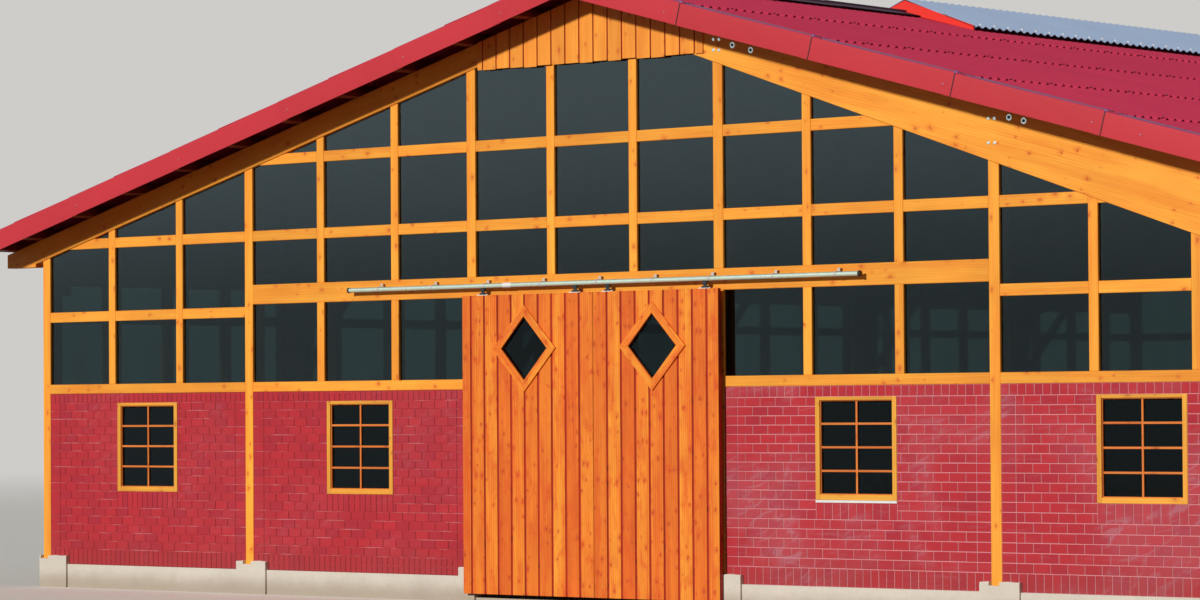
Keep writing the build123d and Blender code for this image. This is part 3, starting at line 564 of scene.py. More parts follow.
def joint_material(name, colours, across):
    """Mortar on the outer face of a wall, and coursed brick on its inner face.

    Across is the direction along the wall. The joints turn from dark to pale on the right of the gable.
    """
    material, tree, shader = start_material(name)
    where = place(tree)
    side = along(tree, where, LEVEL)
    traces = ease(tree, noise(tree, stretch(tree, where, (1.0, 1.0, 5.0)), 1.6, 4.0, 0.7), 0.46, 0.66)
    height = along(tree, where, UP)
    beds = course_mask(tree, height)
    dark = mix(tree, beds, colours.joint_dark, scaled(colours.brick, 0.9))
    dark = mix(tree, times(tree, times(tree, traces, beds), 0.65), dark, colours.joint_pale)
    pale = mix(tree, beds, scaled(colours.joint_pale, 0.8), colours.joint_pale)
    mortar = mix(tree, ease(tree, side, 1.5, 3.0), dark, pale)
    grit = use_group(tree, "mottling", {"Coordinates": where, "Color": mortar, "Scale": 4.0, "Amount": 0.4})
    flat = node(tree, "CombineXYZ", {0: along(tree, where, across), 1: height})
    coursed = node(tree, "TexBrick", {"Vector": flat.outputs[0], "Color1": scaled(colours.brick, 0.8),
                                      "Color2": colours.brick_dark, "Mortar": scaled(colours.joint_pale, 0.6),
                                      "Scale": 1.0, "Mortar Size": 0.006, "Brick Width": 0.25,
                                      "Row Height": 0.1205})
    longer = BRICK_FACE - SIDE_BRICK_FACE
    length = calc(tree, "ABSOLUTE", along(tree, where, ALONG))
    reach = calc(tree, "MAXIMUM", calc(tree, "ABSOLUTE", side), less(tree, length, longer))
    face = calc(tree, "GREATER_THAN", reach, SIDE_BRICK_FACE - 0.03)
    shade = mix(tree, face, coursed.outputs["Color"], grit["Color"])
    feed(tree, shader, shade, 0.85, grit["Height"], 0.002)
    return material


def concrete_material(colours):
    """Cast concrete: clouds, air holes and splashed earth."""
    material, tree, shader = start_material("cast_concrete")
    where = place(tree)
    cloud = use_group(tree, "mottling", {"Coordinates": where, "Color": colours.concrete, "Scale": 1.4,
                                         "Amount": 0.45})
    cells = node(tree, "TexVoronoi", {"Vector": where, "Scale": 38.0}).outputs["Distance"]
    # The air holes are darkened in colour as painted shade inside them.
    hole = inverse(tree, ease(tree, cells, 0.08, 0.16))
    shade = mix(tree, times(tree, hole, 0.45), cloud["Color"], scaled(colours.concrete, 0.35))
    splash = use_group(tree, "ground_splash", {"Coordinates": where, "Color": shade,
                                               "Dirt": linear(150, 132, 110), "Reach": 0.32})
    height = less(tree, cloud["Height"], hole)
    feed(tree, shader, splash["Color"], 0.85, height, 0.003)
    return material


def sheet_material(name, colour, roughness, amount=0.35, sheen=0.15, upper=None):
    """Coloured sheet: each sheet a little different, cloudy weathering, streaks down the slope.

    Faces that look up can take another colour, a painted sheen of the sky on them.
    """
    material, tree, shader = start_material(name)
    where = place(tree)
    lift = spread(tree, tone(tree), 0.92, 1.06)
    shade = brighten(tree, tuple(colour), lift)
    skin = use_group(tree, "mottling", {"Coordinates": where, "Color": shade, "Scale": 0.8, "Amount": amount})
    runs = noise(tree, stretch(tree, where, (0.35, 5.0, 0.35)), 1.5, 4.0, 0.6)
    stain = times(tree, ease(tree, runs, 0.55, 0.8), 0.22)
    shade = mix(tree, stain, skin["Color"], scaled(colour, 0.55))
    if upper:
        # Faces that look up take the upper colour: a painted sheen of the sky.
        upward_sheen_share = along(tree, node(tree, "NewGeometry").outputs["Normal"], UP)
        shade = mix(tree, ease(tree, upward_sheen_share, 0.45, 0.9), shade, upper)
    feed(tree, shader, shade, spread(tree, skin["Height"], roughness - 0.1, roughness + 0.12), skin["Height"],
         0.0015, 0.4)
    shader.inputs["Specular IOR Level"].default_value = sheen
    return material


def light_sheet_material(colours):
    """Translucent corrugated sheet: milky, with dust lying in soft clouds, and darker in the troughs of the
    waves.
    """
    material, tree, shader = start_material("light_sheet")
    where = place(tree)
    skin = use_group(tree, "mottling", {"Coordinates": where, "Color": colours.light_sheet, "Scale": 1.1,
                                        "Amount": 0.3})
    turn = times(tree, along(tree, where, ALONG), 2 * pi / bpy.context.scene.hall_sizes.wave_length)
    trough = spread(tree, calc(tree, "COSINE", turn), 0.24, 0.0)
    shade = mix(tree, trough, skin["Color"], scaled(colours.light_sheet, 0.4))
    feed(tree, shader, shade, spread(tree, skin["Height"], 0.35, 0.55), skin["Height"], 0.001)
    shader.inputs["Transmission Weight"].default_value = 0.1
    return material


def glass_material(name, colour, bend):
    """Window pane: tinted, with a faint film of dust, and a clearer shine on the panes high up."""
    material, tree, shader = start_material(name)
    where = place(tree)
    film = noise(tree, stretch(tree, where, (1.0, 1.0, 0.5)), 1.7, 4.0, 0.6)
    shade = mix(tree, ease(tree, film, 0.3, 0.75), scaled(colour, 0.9), scaled(colour, 1.12))
    feed(tree, shader, shade, spread(tree, film, 0.0, 0.05))
    height = along(tree, where, UP)
    tree.links.new(ease(tree, height, 3.6, 7.2), shader.inputs["Coat Weight"])
    shader.inputs["Coat IOR"].default_value = 1.62
    shader.inputs["Transmission Weight"].default_value = 1.0
    shader.inputs["IOR"].default_value = bend
    return material


def steel_material(name, colour, roughness, metal=0.6):
    """Galvanised steel: spangled zinc with dull patches."""
    material, tree, shader = start_material(name)
    where = place(tree)
    spangle = node(tree, "TexVoronoi", {"Vector": where, "Scale": 55.0}).outputs["Color"]
    flake = along(tree, spangle, (0.33, 0.33, 0.33))
    dull = noise(tree, where, 6.0, 4.0, 0.6)
    shade = mix(tree, flake, scaled(colour, 0.82), scaled(colour, 1.1))
    shade = mix(tree, times(tree, ease(tree, dull, 0.5, 0.8), 0.4), shade, scaled(colour, 0.6))
    feed(tree, shader, shade, spread(tree, dull, roughness - 0.12, roughness + 0.18), flake, 0.0003)
    shader.inputs["Metallic"].default_value = metal
    return material


def plastic_material(name, colour, roughness=0.45, sheen=0.5):
    """Moulded or painted surface with a fine grain and slight fading."""
    material, tree, shader = start_material(name)
    skin = use_group(tree, "mottling", {"Coordinates": place(tree), "Color": colour, "Scale": 7.0,
                                        "Amount": 0.35})
    feed(tree, shader, skin["Color"], spread(tree, skin["Height"], roughness - 0.08, roughness + 0.12),
         skin["Height"], 0.0006)
    shader.inputs["Specular IOR Level"].default_value = sheen
    return material


def build_materials(colours):
    """Every material of the hall by name."""
    lean = cos(ROOF_ANGLE), sin(ROOF_ANGLE)
    knot = linear(196, 80, 34)
    return {
        "timber": timber_material("gable_timber", colours.timber, colours.timber_deep, knot),
        "boards": timber_material("gable_board_timber", linear(248, 164, 60), linear(232, 136, 44), knot),
        "purlins": timber_material("purlin_timber", linear(150, 62, 40), linear(116, 44, 30),
                                   linear(80, 30, 18), grain_along(ALONG, (1.0, 0.0, 1.0))),
        "doors": door_material(colours),
        "leaf_frame": timber_material("leaf_frame_timber", linear(200, 50, 30), linear(160, 38, 24),
                                      linear(70, 24, 12)),
        "legs": glulam_material("glued_legs", colours, UP, LEVEL),
        "left_rafters": glulam_material("glued_rafters_left", colours, (lean[0], 0.0, lean[1]),
                                        (-lean[1], 0.0, lean[0])),
        "right_rafters": glulam_material("glued_rafters_right", colours, (lean[0], 0.0, -lean[1]),
                                         (lean[1], 0.0, lean[0])),
        "braces": glulam_material("glued_braces", colours, (0.6, 0.0, 0.8), (0.8, 0.0, -0.6)),
        "brick": brick_material(colours),
        "gable_joints": joint_material("gable_joints", colours, LEVEL),
        "side_joints": joint_material("side_joints", colours, ALONG),
        "concrete": concrete_material(colours),
        "roof": sheet_material("roof_sheet", colours.roof, 0.7, 0.35, 0.1),
        # The verge trims' upward faces get a purple painted sheen of the sky.
        "verge": sheet_material("verge_paint_and_sheen", colours.verge, 0.5, 0.22, 0.3, linear(142, 62, 108)),
        "ridge": sheet_material("ridge_cap_paint", colours.ridge, 0.6),
        "light_end": sheet_material("light_end_paint", colours.light_end, 0.5, 0.2, 0.3),
        "light_sheet": light_sheet_material(colours),
        "glass": glass_material("tinted_pane", colours.glass, 1.42),
        # Half the tint: the small windows and diamond windows are darkened as painted shade of the dim room
        # behind them.
        "shade_darkened_glass": glass_material("shade_darkened_pane", scaled(colours.glass, 0.5), 1.28),
        "steel": steel_material("galvanised_steel", colours.steel, 0.3, 0.7),
        "bracket": steel_material("bracket_zinc", linear(206, 202, 198), 0.45),
        "washer": steel_material("bright_zinc", linear(246, 252, 240), 0.3, 1.0),
        "black": plastic_material("black_iron", linear(34, 34, 38)),
        "white": plastic_material("white_fitting", linear(226, 228, 226)),
        "lamp": plastic_material("lamp_housing", linear(58, 60, 64)),
        "window": timber_material("window_frame_timber", linear(240, 176, 66), linear(222, 146, 50),
                                  linear(170, 96, 40)),
        "window_bar": timber_material("window_bar_timber", linear(228, 134, 58), linear(204, 104, 42),
                                      linear(150, 70, 30)),
        # Dark red timber behind the open joints of boards and doors: painted shade in the grooves.
        "groove": timber_material("groove_shade_timber", linear(184, 48, 24), linear(150, 36, 18),
                                  linear(90, 26, 12)),
        "roof_caps": plastic_material("screw_caps", linear(96, 22, 46), 0.6, 0.1),
        "screw": plastic_material("pale_screws", linear(178, 84, 98)),
        # Dark strips over the verge seams: painted shade of the laps.
        "seam_shade": plastic_material("painted_seam_shade", linear(70, 14, 26), 0.6),
        # Purple-blue bump at the top of each verge seam: painted sheen of the sky.
        "clip": plastic_material("seam_bump_sheen", linear(112, 84, 140), 0.6),
    }


MATERIAL_NAMES = {}


def finish(name):
    """Material by its short name."""
    return bpy.data.materials[MATERIAL_NAMES[name]]


def dress(material, *names):
    """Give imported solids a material."""
    for name in names:
        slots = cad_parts[name].data.materials
        slots.clear()
        slots.append(finish(material))


# Mesh building

def outward(points, quads):
    """Turn all faces round if the closed skin that they make has a negative volume."""
    corners = points[quads]
    first = np.einsum("ij,ij->i", corners[:, 0], np.cross(corners[:, 1], corners[:, 2])).sum()
    second = np.einsum("ij,ij->i", corners[:, 0], np.cross(corners[:, 2], corners[:, 3])).sum()
    return quads if first + second > 0 else quads[:, ::-1]


def skin(upper, lower):
    """Closed skin between two grids of points with the same rows and columns.

    The grids are the two faces, and four strips of quads along their edges close the skin.
    """
    rows, columns = upper.shape[:2]
    points = np.concatenate([upper.reshape(-1, 3), lower.reshape(-1, 3)])
    index = np.arange(rows * columns).reshape(rows, columns)
    below = index + rows * columns

    def cells(grid):
        return np.stack([grid[:-1, :-1], grid[:-1, 1:], grid[1:, 1:], grid[1:, :-1]], -1).reshape(-1, 4)

    def strip(top, bottom):
        return np.stack([top[1:], top[:-1], bottom[:-1], bottom[1:]], -1)

    quads = np.concatenate([
        cells(index), cells(below)[:, ::-1],
        strip(index[0], below[0]), strip(index[:, -1], below[:, -1]),
        strip(index[-1, ::-1], below[-1, ::-1]), strip(index[::-1, 0], below[::-1, 0])])
    return points, outward(points, quads)


def lathe(centres, axis, side, profile, segments):
    """Turned shapes at many centres at once.

    A profile of (distance along the axis, radius) pairs goes round the axis, and flat strips of quads close
    its ends.
    """
    axis, side = np.array(axis, float), np.array(side, float)
    other = np.cross(axis, side)
    angles = np.arange(segments) * 2 * pi / segments
    ring = np.cos(angles)[:, None] * side + np.sin(angles)[:, None] * other
    profile = np.array(profile, float)
    shape = profile[:, 0, None, None] * axis + profile[:, 1, None, None] * ring
    points = (np.array(centres, float)[:, None, None, :] + shape[None]).reshape(-1, 3)
    rows = len(profile)
    index = np.arange(rows * segments).reshape(rows, segments)
    onward = np.roll(index, -1, axis=1)
    wall = np.stack([index[:-1], onward[:-1], onward[1:], index[1:]], -1).reshape(-1, 4)
    steps = np.arange(segments // 2 - 1)
    cap = np.stack([steps, steps + 1, segments - 2 - steps, segments - 1 - steps], -1)
    quads = np.concatenate([wall, cap[:, ::-1], cap + (rows - 1) * segments])
    quads = outward(points[:rows * segments], quads)
    copies = np.arange(len(centres))[:, None, None] * rows * segments
    return points, (quads[None] + copies).reshape(-1, 4)


def joined(parts):
    """Many skins as one. A part may bring its own tone from 0 to 1 after its points and quads."""
    points, quads, tones, start = [], [], [], 0
    for part_points, part_quads, *own_tone in parts:
        points.append(part_points)
        quads.append(part_quads + start)
        tones.append(np.broadcast_to(own_tone[0] if own_tone else EVEN_TONE, len(part_points)))
        start += len(part_points)
    return np.concatenate(points), np.concatenate(quads), np.concatenate(tones)


def mount(mesh, name, material, body, replaced):
    """Put a finished mesh in the scene and say what it belongs to."""
    piece = bpy.data.objects.new(name, mesh)
    bpy.context.scene.collection.objects.link(piece)
    mesh.materials.append(finish(material))
    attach(piece, body)
    if replaced:
        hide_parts(*replaced)
    return piece


def quad_piece(name, parts, material, body="hall", replaced=(), smooth=None):
    """Piece made of quads held in whole arrays."""
    points, quads, tones = joined(parts)
    mesh = bpy.data.meshes.new(name)
    mesh.vertices.add(len(points))
    mesh.vertices.foreach_set("co", points.astype(np.float32).ravel())
    mesh.loops.add(quads.size)
    mesh.loops.foreach_set("vertex_index", quads.astype(np.int32).ravel())
    mesh.polygons.add(len(quads))
    mesh.polygons.foreach_set("loop_start", np.arange(len(quads), dtype=np.int32) * 4)
    mesh.polygons.foreach_set("use_smooth", np.full(len(quads), smooth is not None))
    mesh.update(calc_edges=True)
    mesh.validate()
    mesh.attributes.new("tone", "FLOAT", "POINT").data.foreach_set("value", tones.astype(np.float32))
    if smooth is not None:
        mesh.set_sharp_from_angle(angle=radians(smooth))
    return mount(mesh, name, material, body, replaced)


class Timbers:
    """Straight members gathered into one mesh, each an outline pushed along a vector.

    Every face gets a map in metres with its first coordinate along the member's grain. It is moved to a
    place of its own, so that no two members show the same figure.
    """

    def __init__(self, seed):
        self.points, self.faces, self.map, self.tones = [], [], [], []
        self.random = np.random.default_rng(seed)

    def add(self, outline, push, grain, shade=None):
        """Member with a flat outline, pushed along a vector. Its shade is drawn unless one is given."""
        outline, push, grain = np.array(outline, float), np.array(push, float), np.array(grain, float)
        grain = grain / np.linalg.norm(grain)
        turned = np.cross(outline, np.roll(outline, -1, axis=0)).sum(0)
        if turned @ push > 0:
            outline = outline[::-1]
        count, start = len(outline), len(self.points)
        corners = np.concatenate([outline, outline + push])
        near = list(range(count))
        faces = [near, [count + i for i in reversed(near)]]
        faces += [[(i + 1) % count, i, count + i, count + (i + 1) % count] for i in near]
        offset = self.random.uniform(0, 60, 2)
        for face in faces:
            ring = corners[face]
            normal = np.cross(ring, np.roll(ring, -1, axis=0)).sum(0)
            normal /= np.linalg.norm(normal) + 1e-12
            if abs(normal @ grain) > 0.9:
                first = np.cross(normal, (0.36, 0.48, 0.8))
                second, first = np.cross(normal, first), first * 0.1
            else:
                first, second = grain, np.cross(normal, grain)
            self.map += list(np.stack([ring @ first, ring @ second], -1) + offset)
            self.faces.append([start + i for i in face])
        self.points += list(corners)
        drawn = self.random.uniform(0, 1)
        self.tones += [drawn if shade is None else shade] * len(corners)

    def bar(self, low, high, grain, shade=None):
        """Square member between two corners."""
        (x0, y0, z0), (x1, y1, z1) = low, high
        base = [(x, y, z0) for x, y in rectangle(x0, x1, y0, y1)]
        self.add(base, (0, 0, z1 - z0), grain, shade)

    def piece(self, name, material, slot, body="hall", replaced=(), edge=None):
        """Make one piece of all members so far, with its edges rounded by a modifier."""
        mesh = bpy.data.meshes.new(name)
        mesh.from_pydata(self.points, [], self.faces)
        mesh.uv_layers.new(name="grain").data.foreach_set("uv", np.array(self.map, np.float32).ravel())
        values = np.array(self.tones, np.float32)
        mesh.attributes.new("tone", "FLOAT", "POINT").data.foreach_set("value", values)
        mesh.update()
        piece = mount(mesh, name, material, body, replaced)
        rounding = piece.modifiers.new("planed edge", "BEVEL")
        rounding.width = bpy.context.scene.hall_sizes.timber_edge if edge is None else edge
        rounding.segments = 1
        rounding.limit_method = "ANGLE"
        rounding.angle_limit = radians(35)
        return piece


def rectangle(x0, x1, z0, z1):
    """Corners of a rectangle, from its foot on the left round to its top on the left."""
    return [(x0, z0), (x1, z0), (x1, z1), (x0, z1)]


def column_x(number):
    """Place of an upright, counted from the left corner post."""
    return (number - COLUMNS / 2) * PITCH


def low_edge(x):
    """Height of a gable rafter's lower edge."""
    return LOW_APEX - (HAUNCH if x > 0 else SLOPE) * abs(x)


def gable_member(store, end, depth, thickness, points, grain, shade=None):
    """Member drawn in a gable as (x, z) points and pushed into the hall from a depth behind its face."""
    face = end * (GABLE - depth)
    store.add([(x, face, z) for x, z in points], (0, -end * thickness, 0), grain, shade)


def under_rafter(x0, x1, z0, z1):
    """Rectangle with all that lies above the rafters' lower edges cut off, or None where nothing is left."""
    x0 = max(x0, -(LOW_APEX - z0) / SLOPE)
    x1 = min(x1, (LOW_APEX - z0) / HAUNCH)
    if x1 - x0 < 0.02:
        return None
    breaks = [x0, x1] + [x for x in (-(LOW_APEX - z1) / SLOPE, (LOW_APEX - z1) / HAUNCH, 0.0) if x0 < x < x1]
    top = [(x, min(z1, low_edge(x))) for x in sorted(breaks, reverse=True)]
    top = [point for point in top if point[1] - z0 > 0.001]
    return [(x0, z0), (x1, z0)] + top


def post_numbers():
    """Numbers of the columns where a main post stands."""
    return range(0, COLUMNS + 1, BAY)


def bay_edges(first):
    """Free width between the two posts of a bay."""
    return column_x(first) + POST_WIDTH / 2, column_x(first + BAY) - POST_WIDTH / 2


# Bricks

def course_edges(left, right, strip, shift, length):
    """Joints of one course: a strip at each end, and between them a bond shifted by part of a brick."""
    inner_left, inner_right = left + strip, right - strip
    joints = np.arange(inner_left + shift * length, inner_right, length)
    joints = joints[(joints - inner_left > 0.05) & (inner_right - joints > 0.05)]
    return np.concatenate([[left, inner_left], joints, [inner_right, right]])


def wall_courses(left, right, windows, sizes, upright_module):
    """Bricks of one wall as (left, right, bottom, top) rows.

    A course of uprights stands on the plinth and another under the sill beam, with stretcher courses between
    them. Under each window stand uprights two courses high.
    """
    below = np.linspace(UPRIGHT_TOP, WINDOW_BOTTOM, COURSES_BELOW + 1)
    beside = np.linspace(WINDOW_BOTTOM, WINDOW_TOP, COURSES_BESIDE + 1)
    levels = np.concatenate([below, beside[1:]])
    rows = []

    def course(edges, bottom, top, gaps=()):
        for gap_left, gap_right in gaps:
            edges = edges[(np.abs(edges - gap_left) > 0.05) & (np.abs(edges - gap_right) > 0.05)]
            edges = np.sort(np.concatenate([edges, [gap_left, gap_right]]))
        starts, ends = edges[:-1], edges[1:]
        middle = (starts + ends) / 2
        kept = np.ones(len(starts), bool)
        for gap_left, gap_right in gaps:
            kept &= (middle < gap_left) | (middle > gap_right)
        count = int(kept.sum())
        rows.append(np.stack([starts[kept], ends[kept], np.full(count, bottom), np.full(count, top)], -1))

    def uprights(start, stop, bottom, top):
        count = max(1, round((stop - start) / upright_module))
        course(np.linspace(start, stop, count + 1), bottom, top)

    uprights(left, right, PLINTH_TOP, UPRIGHT_TOP)
    uprights(left, right, WINDOW_TOP, SILL_BOTTOM)
    for number in range(len(levels) - 1):
        bottom, top = levels[number], levels[number + 1]
        gaps = windows if number >= WINDOW_COURSE else ()
        edges = course_edges(left, right, sizes.strip_width, 0.5 * (number % 2), sizes.brick_length)
        course(edges, bottom, top, gaps)
    for gap_left, gap_right in windows:
        uprights(gap_left, gap_right, levels[WINDOW_COURSE], WINDOW_BOTTOM)
    return np.concatenate(rows)


def brick_skin(rows, to_wall, sizes, random):
    """Bricks as closed blocks with chamfered faces.

    Each block has three rings of four corners: the face, drawn in by the chamfer, the arris and the back.
    """
    joint = sizes.brick_joint / 2
    jitter = random.normal(0, 0.0006, (len(rows), 4))
    s0, s1, z0, z1 = (rows + np.array([joint, -joint, joint, -joint]) + jitter).T
    lift = sizes.brick_proud + random.uniform(-0.0012, 0.0012, len(rows))
    chamfer = 0.003

    def ring(inset, depth):
        across = np.stack([s0 + inset, s1 - inset, s1 - inset, s0 + inset], 1)
        upward = np.stack([z0 + inset, z0 + inset, z1 - inset, z1 - inset], 1)
        return to_wall(across, upward, np.repeat(depth[:, None], 4, 1))

    back = np.full(len(rows), -0.002)
    points = np.concatenate([ring(chamfer, lift), ring(0.0, lift - chamfer), ring(0.0, back)], 1)
    turn = np.array([0, 1, 2, 3])
    after = np.roll(turn, -1)
    faces = [turn[None], turn[None, ::-1] + 8]
    for outer, inner in ((4, 0), (8, 4)):
        faces.append(np.stack([turn + outer, after + outer, after + inner, turn + inner], -1))
    faces = np.concatenate(faces)
    quads = (faces[None] + 12 * np.arange(len(rows))[:, None, None]).reshape(-1, 4)
    return points.reshape(-1, 3), quads, np.repeat(random.uniform(0, 1, len(rows)), 12)


def to_gable(end):
    """Map from a wall's own (along, up, out) to a gable, seen from outside."""
    return lambda s, z, out: np.stack([-end * s, end * (BRICK_FACE + out), z], -1)


def to_side(side):
    """Map from a wall's own (along, up, out) to a long wall, seen from outside."""
    return lambda s, z, out: np.stack([side * (SIDE_BRICK_FACE + out), side * s, z], -1)


def gable_bricks(end, bays, seed, sizes):
    """Brick panels of a gable, with the spacing of the uprights changing from the left half to the right."""
    random = np.random.default_rng(seed)
    parts = []
    for first in bays:
        edges = sorted(-end * x for x in bay_edges(first))
        middle = -end * column_x(first + BAY / 2)
        windows = [sorted(-end * (column_x(n) + step * WINDOW_WIDTH / 2) for step in (-1, 1))
                   for n in WINDOW_COLUMNS if first < n < first + BAY]
        rows = wall_courses(*edges, windows, sizes, UPRIGHT_PITCH[-1 if middle < 0 else 1])
        parts.append(brick_skin(rows, to_gable(end), sizes, random))
    return parts


class HALL_OT_brickwork(bpy.types.Operator):
    """Lay the bricks of the gables and long walls, and give the walls behind them their mortar"""

    bl_idname = "hall.brickwork"
    bl_label = "Brickwork"

    def execute(self, context):
        sizes = context.scene.hall_sizes
        dress("gable_joints", "front_brick_panels", "rear_brick_panels")
        dress("side_joints", "side_brick_walls")
        all_bays = range(0, COLUMNS, BAY)
        front_bays = [first for first in all_bays if first != DOOR_BAY]
        quad_piece("front_bricks", gable_bricks(FRONT, front_bays, 11, sizes), "brick")
        quad_piece("rear_bricks", gable_bricks(REAR, all_bays, 12, sizes), "brick")
        for side, name in SIDES:
            rows = wall_courses(-SIDE_REACH, SIDE_REACH, (), sizes, UPRIGHT_PITCH[side])
            part = brick_skin(rows, to_side(side), sizes, np.random.default_rng(14 + side))
            quad_piece(f"{name}_wall_bricks", [part], "brick")
        return {"FINISHED"}


# Concrete

def pier_head(center, left, right, end):
    """Pier head cast round the foot of its post, with a notch for the post and an uneven top.

    Over the plinth it reaches back to the brick.
    """
    sides = center + POST_WIDTH / 2 * np.array([-1.001, -1, 1, 1.001])
    across = np.unique(np.concatenate([np.linspace(left, right, 9), sides]))
    across = across[(across > left - 1e-6) & (across < right + 1e-6)]
    notch = np.abs(across - center) < POST_WIDTH / 2 + 1e-5
    rise = PIER_TOP - 0.005 * (1 + np.sin(23 * across)) - 0.05 * notch
    wall = np.where(notch, GABLE, BRICK_FACE)
    flat, outer, inner = np.zeros(len(across)), GABLE + 0.06, GABLE + 0.03

    def rows(*pairs):
        return np.stack([np.stack([across, end * (flat + y), flat + z], -1) for y, z in pairs])

    face = rows((outer, 0), (outer, 0.2), (outer, rise - 0.016), (outer - 0.005, rise - 0.005),
                (outer - 0.018, rise), (wall, rise))
    back = rows((inner, 0), (inner, 0.2), (inner, PLINTH_TOP), (inner - 0.005, PLINTH_TOP),
                (inner - 0.01, PLINTH_TOP), (wall, PLINTH_TOP))
    return skin(face, back)


class HALL_OT_concrete(bpy.types.Operator):
    """Give the concrete its surface and shape the pier heads in front of the posts"""

    bl_idname = "hall.concrete"
    bl_label = "Concrete"

    def execute(self, context):
        dress("concrete", "front_plinth", "rear_plinth", "side_plinths", "door_threshold", "frame_footings")
        parts = []
        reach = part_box("pier_heads")[1].x
        for end in (FRONT, REAR):
            for center in map(column_x, post_numbers()):
                left = min(max(center - PIER_LEFT, -reach), reach - PIER_WIDTH)
                right = left + PIER_WIDTH
                if end == FRONT and 0 < center < BAY * PITCH:
                    left = center - POST_WIDTH / 2
                if end == FRONT and -BAY * PITCH < center < 0:
                    right = center + POST_WIDTH / 2
                parts.append(pier_head(center, left, right, end))
        quad_piece("pier_head_blocks", parts, "concrete", replaced=["pier_heads"])
        return {"FINISHED"}


# Gable timber

def bay_foot(end, first):
    """Level where a bay's uprights start, and whether the door beam crosses them further up."""
    over_doorway = end == FRONT and abs(column_x(first + BAY / 2)) < BEAM_REACH
    if over_doorway and first == DOOR_BAY:
        return BEAM_TOP, False
    return SILL_TOP, over_doorway


def upright(store, end, x, width, depth, foot, crossed):
    """Upright from its foot to the rafter, let round the door beam where that crosses it."""
    left, right = x - width / 2, x + width / 2
    if crossed:
        gable_member(store, end, 0, depth, rectangle(left, right, foot, BEAM_BOTTOM), UP)
        foot = BEAM_TOP
    outline = [(left, foot), (right, foot), (right, low_edge(right)), (left, low_edge(left))]
    gable_member(store, end, 0, depth, outline, UP)


def gable_posts():
    """Posts from the plinth to the rafters."""
    store = Timbers(21)
    for end in (FRONT, REAR):
        for x in map(column_x, post_numbers()):
            crossed = end == FRONT and abs(x) < BEAM_REACH
            upright(store, end, x, POST_WIDTH, POST_DEPTH, PLINTH_TOP, crossed)
    store.piece("gable_post_timbers", "timber", "stained_timber", replaced=["gable_posts"])


def gable_beams():
    """Sill beams on the brick, and the deep beam over the doorway and the bays beside it."""
    store = Timbers(22)
    for end in (FRONT, REAR):
        for first in range(0, COLUMNS, BAY):
            if end == REAR or first != DOOR_BAY:
                outline = rectangle(*bay_edges(first), SILL_BOTTOM, SILL_TOP)
                gable_member(store, end, 0, SILL_DEPTH, outline, LEVEL)
    store.piece("sill_timbers", "timber", "stained_timber", replaced=["sill_beams"])
    beam = Timbers(23)
    outline = rectangle(-BEAM_REACH, BEAM_REACH, BEAM_BOTTOM, BEAM_TOP)
    gable_member(beam, FRONT, 0, MULLION_DEPTH, outline, LEVEL)
    beam.piece("door_beam_timber", "timber", "stained_timber", replaced=["door_beam"])


def cell_edges(first):
    """Left and right edges of the three openings between the uprights of a bay."""
    left, right = bay_edges(first)
    mullions = [column_x(first + i) + side * MULLION_WIDTH / 2 for i in (1, 2) for side in (-1, 1)]
    edges = [left, *mullions, right]
    return list(zip(edges[::2], edges[1::2]))


def bay_transoms(end, first):
    """Levels of a bay's transoms. In the middle of the front the deep beam takes the lowest one's place."""
    return TRANSOMS if end == REAR or first in (0, COLUMNS - BAY) else TRANSOMS[1:]


def lattice(end, name, seed):
    """Mullions up to the rafter and transoms fitted between them, with a hair joint where they meet."""
    store = Timbers(seed)
    joint, setback = 0.0015, 0.002
    for first in range(0, COLUMNS, BAY):
        foot, crossed = bay_foot(end, first)
        for number in (first + 1, first + 2):
            upright(store, end, column_x(number), MULLION_WIDTH, MULLION_DEPTH, foot, crossed)
        for height in bay_transoms(end, first):
            for start, stop in cell_edges(first):
                outline = under_rafter(start + joint, stop - joint, height, height + TRANSOM_HEIGHT)
                if outline:
                    gable_member(store, end, setback, TRANSOM_DEPTH - setback, outline, LEVEL)
    store.piece(name, "timber", "stained_timber", replaced=[f"{name.split('_')[0]}_glazing_bars"])


def gable_rafters(end, name, seed):
    """The left rafter keeps its depth and ends in a tail with a level cut. The right one deepens outwards."""
    top_end = RAFTER_APEX - SLOPE * TAIL_END
    left = [(0, RAFTER_APEX), (-TAIL_END, top_end), (-TAIL_END, PLATE_TOP), (-TAIL_START, PLATE_TOP),
            (-TAIL_START, low_edge(-TAIL_START)), (0, LOW_APEX)]
    right = [(0, RAFTER_APEX), (TAIL_END, top_end), (TAIL_END, PLATE_TOP), (WALL_OUTSIDE, PLATE_TOP),
             (WALL_OUTSIDE, LOW_APEX - HAUNCH * WALL_OUTSIDE), (0, LOW_APEX)]
    for points, side, grain in ((left, "left", (1, 0, SLOPE)), (right, "right", (1, 0, -SLOPE))):
        store, rafter = Timbers(seed), f"{name}_{side}_rafter"
        seed += 1
        gable_member(store, end, -RAFTER_PROUD, RAFTER_THICKNESS, points, grain, 0.6)
        store.piece(f"{rafter}_timber", "timber", "stained_timber", replaced=[rafter])


